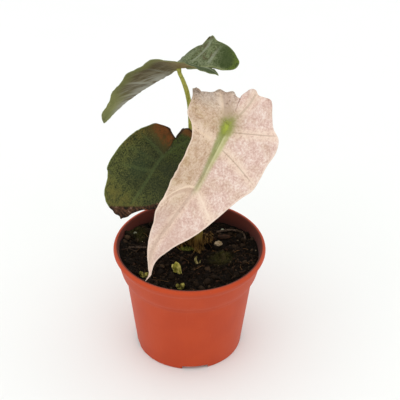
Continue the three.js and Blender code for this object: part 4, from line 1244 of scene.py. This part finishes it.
def young_shoot(node):
    (x, y), lobes, foot = SHOOTS[node]
    centre, half = extent(node)
    low = centre[2] - half[2]
    strands = []
    for foot_x, foot_y, lean_x, lean_y, height, radius in lobes:
        shape = ((0, 0, foot), (0.25, 0.3, 0.9 * radius), (0.65, 0.7, radius), (1, 1, 0.3 * radius))
        strands.append([[x + foot_x + out * lean_x, y + foot_y + out * lean_y, low + up * height, width]
                        for out, up, width in shape])
    skin = LOOKS["shoot" if node == "shoot_front" else "dim_shoot"]
    return swept("young_" + node, strands, skin, sides=16, step=0.2, ripple=0.25, ripple_size=1.1,
                 groove=0.3, groove_end=1.6)


for node in SHOOTS:
    dress(young_shoot(node), "shoot", node)
dress(swept("young_shoot_curl", CURL, LOOKS["curl"], sides=14, step=0.2, ripple=0.15, ripple_size=1.1),
      "shoot", "shoot_curl")

GRAIN_FLATS = 14
FLAT_DEPTH = (0.72, 0.95)           # distance of a flat from the middle, as a share of the radius


def grain_of(node, name, material, rough, seed, share=1.0):
    """A rounded lump on the foot of its node, as large as that or a share of it, dented and pitted."""
    centre, half = extent(node)
    centre, half = centre - [0, 0, (1 - share) * half[2]], half * share
    draw = np.random.default_rng(seed)
    flats, depth = unit(draw.normal(size=(GRAIN_FLATS, 3))), draw.uniform(*FLAT_DEPTH, GRAIN_FLATS)
    ball = bmesh.new()
    bmesh.ops.create_icosphere(ball, subdivisions=4, radius=1)
    ball.verts.index_update()
    points, faces = [], [[vertex.index for vertex in face.verts] for face in ball.faces]
    for point in [np.array(vertex.co) for vertex in ball.verts]:
        cut = min(1.0, (depth / np.maximum(flats @ point, 1e-3))[flats @ point > 0.2].min(initial=1.0))
        dent = 1 + rough * lumps(point[0] * 3 + 9, point[1] * 3 + point[2] * 5, 1, seed)
        points.append(point * cut * dent * half + centre)
    ball.free()
    return piece(name, points, faces, material)


dress(grain_of("granule", "tan_granule", LOOKS["granule"], 0.16, 9), "granule", "granule")
dress(grain_of("perlite_left", "pale_grain_left", LOOKS["perlite"], 0.1, 14, 0.8), "perlite", "perlite_left")
dress(grain_of("perlite_back", "pale_grain_back", LOOKS["perlite"], 0.1, 21, 0.72), "perlite", "perlite_back")
dress(grain_of("bark", "bark_lump", LOOKS["chip"], 0.12, 33), "bark", "bark")

MOSS_LEAVES = 110


def moss_tuft():
    """Short pointed moss leaves, standing out of a low cushion."""
    (x, y, z), half = extent("moss")
    draw = np.random.default_rng(4)
    strands = []
    for i in range(MOSS_LEAVES):
        angle, away = i * GOLDEN_TURN, math.sqrt(i / MOSS_LEAVES) + draw.uniform(-0.1, 0.1)
        lean = draw.uniform(-0.5, 0.5, 2)
        height = 1.7 * half[2] * (1 - 0.6 * away ** 2) * draw.uniform(0.2, 1.0)
        foot = np.array([x + 1.5 * half[0] * away * math.cos(angle),
                         y + 0.5 * half[1] * away * math.sin(angle)])
        strands.append([[*(foot + out * lean), z - half[2] + 0.3 + up * height, width]
                        for out, up, width in ((0, 0, 0.13), (0.5, 0.6, 0.15), (1, 1, 0.04))])
    return swept("moss_tuft", strands, LOOKS["moss"], sides=5, step=0.35)


dress(moss_tuft(), "moss", "moss")


# Studio

FLOOR_REACH = 2000                  # millimetres
ROOM_LIGHT = 1.12
KEY_PLACE = (-0.12, -0.35, 1.0)     # metres, like the rest of the lamp's sizes
KEY_AIM = (0, 0, 0.06)
KEY_SIZE, KEY_POWER = 0.8, 1.4


def pale_paint(tree):
    return {"Base Color": over("#eaecea", ("#edefed", millimetres(tree).noise(60, 3)))}


def studio():
    scene = bpy.context.scene
    scene.view_settings.view_transform = "Standard"
    corners = [[x * FLOOR_REACH, y * FLOOR_REACH, 0] for x, y in ((-1, -1), (1, -1), (1, 1), (-1, 1))]
    floor = piece("floor", corners, [[0, 1, 2, 3]], look("pale_floor", pale_paint, {"Roughness": 0.8}))
    world = bpy.data.worlds.new("white_room")
    world.use_nodes = True
    room = world.node_tree.nodes["Background"]
    room.inputs["Color"].default_value = (1.0, 1.0, 1.0, 1.0)
    room.inputs["Strength"].default_value = ROOM_LIGHT
    scene.world = world
    key = placed("soft_key", bpy.data.lights.new("soft_key", "AREA"))
    key.data.size, key.data.energy = KEY_SIZE, KEY_POWER
    key.location = KEY_PLACE
    key.rotation_euler = (Vector(KEY_AIM) - Vector(KEY_PLACE)).to_track_quat("-Z", "Y").to_euler()


studio()
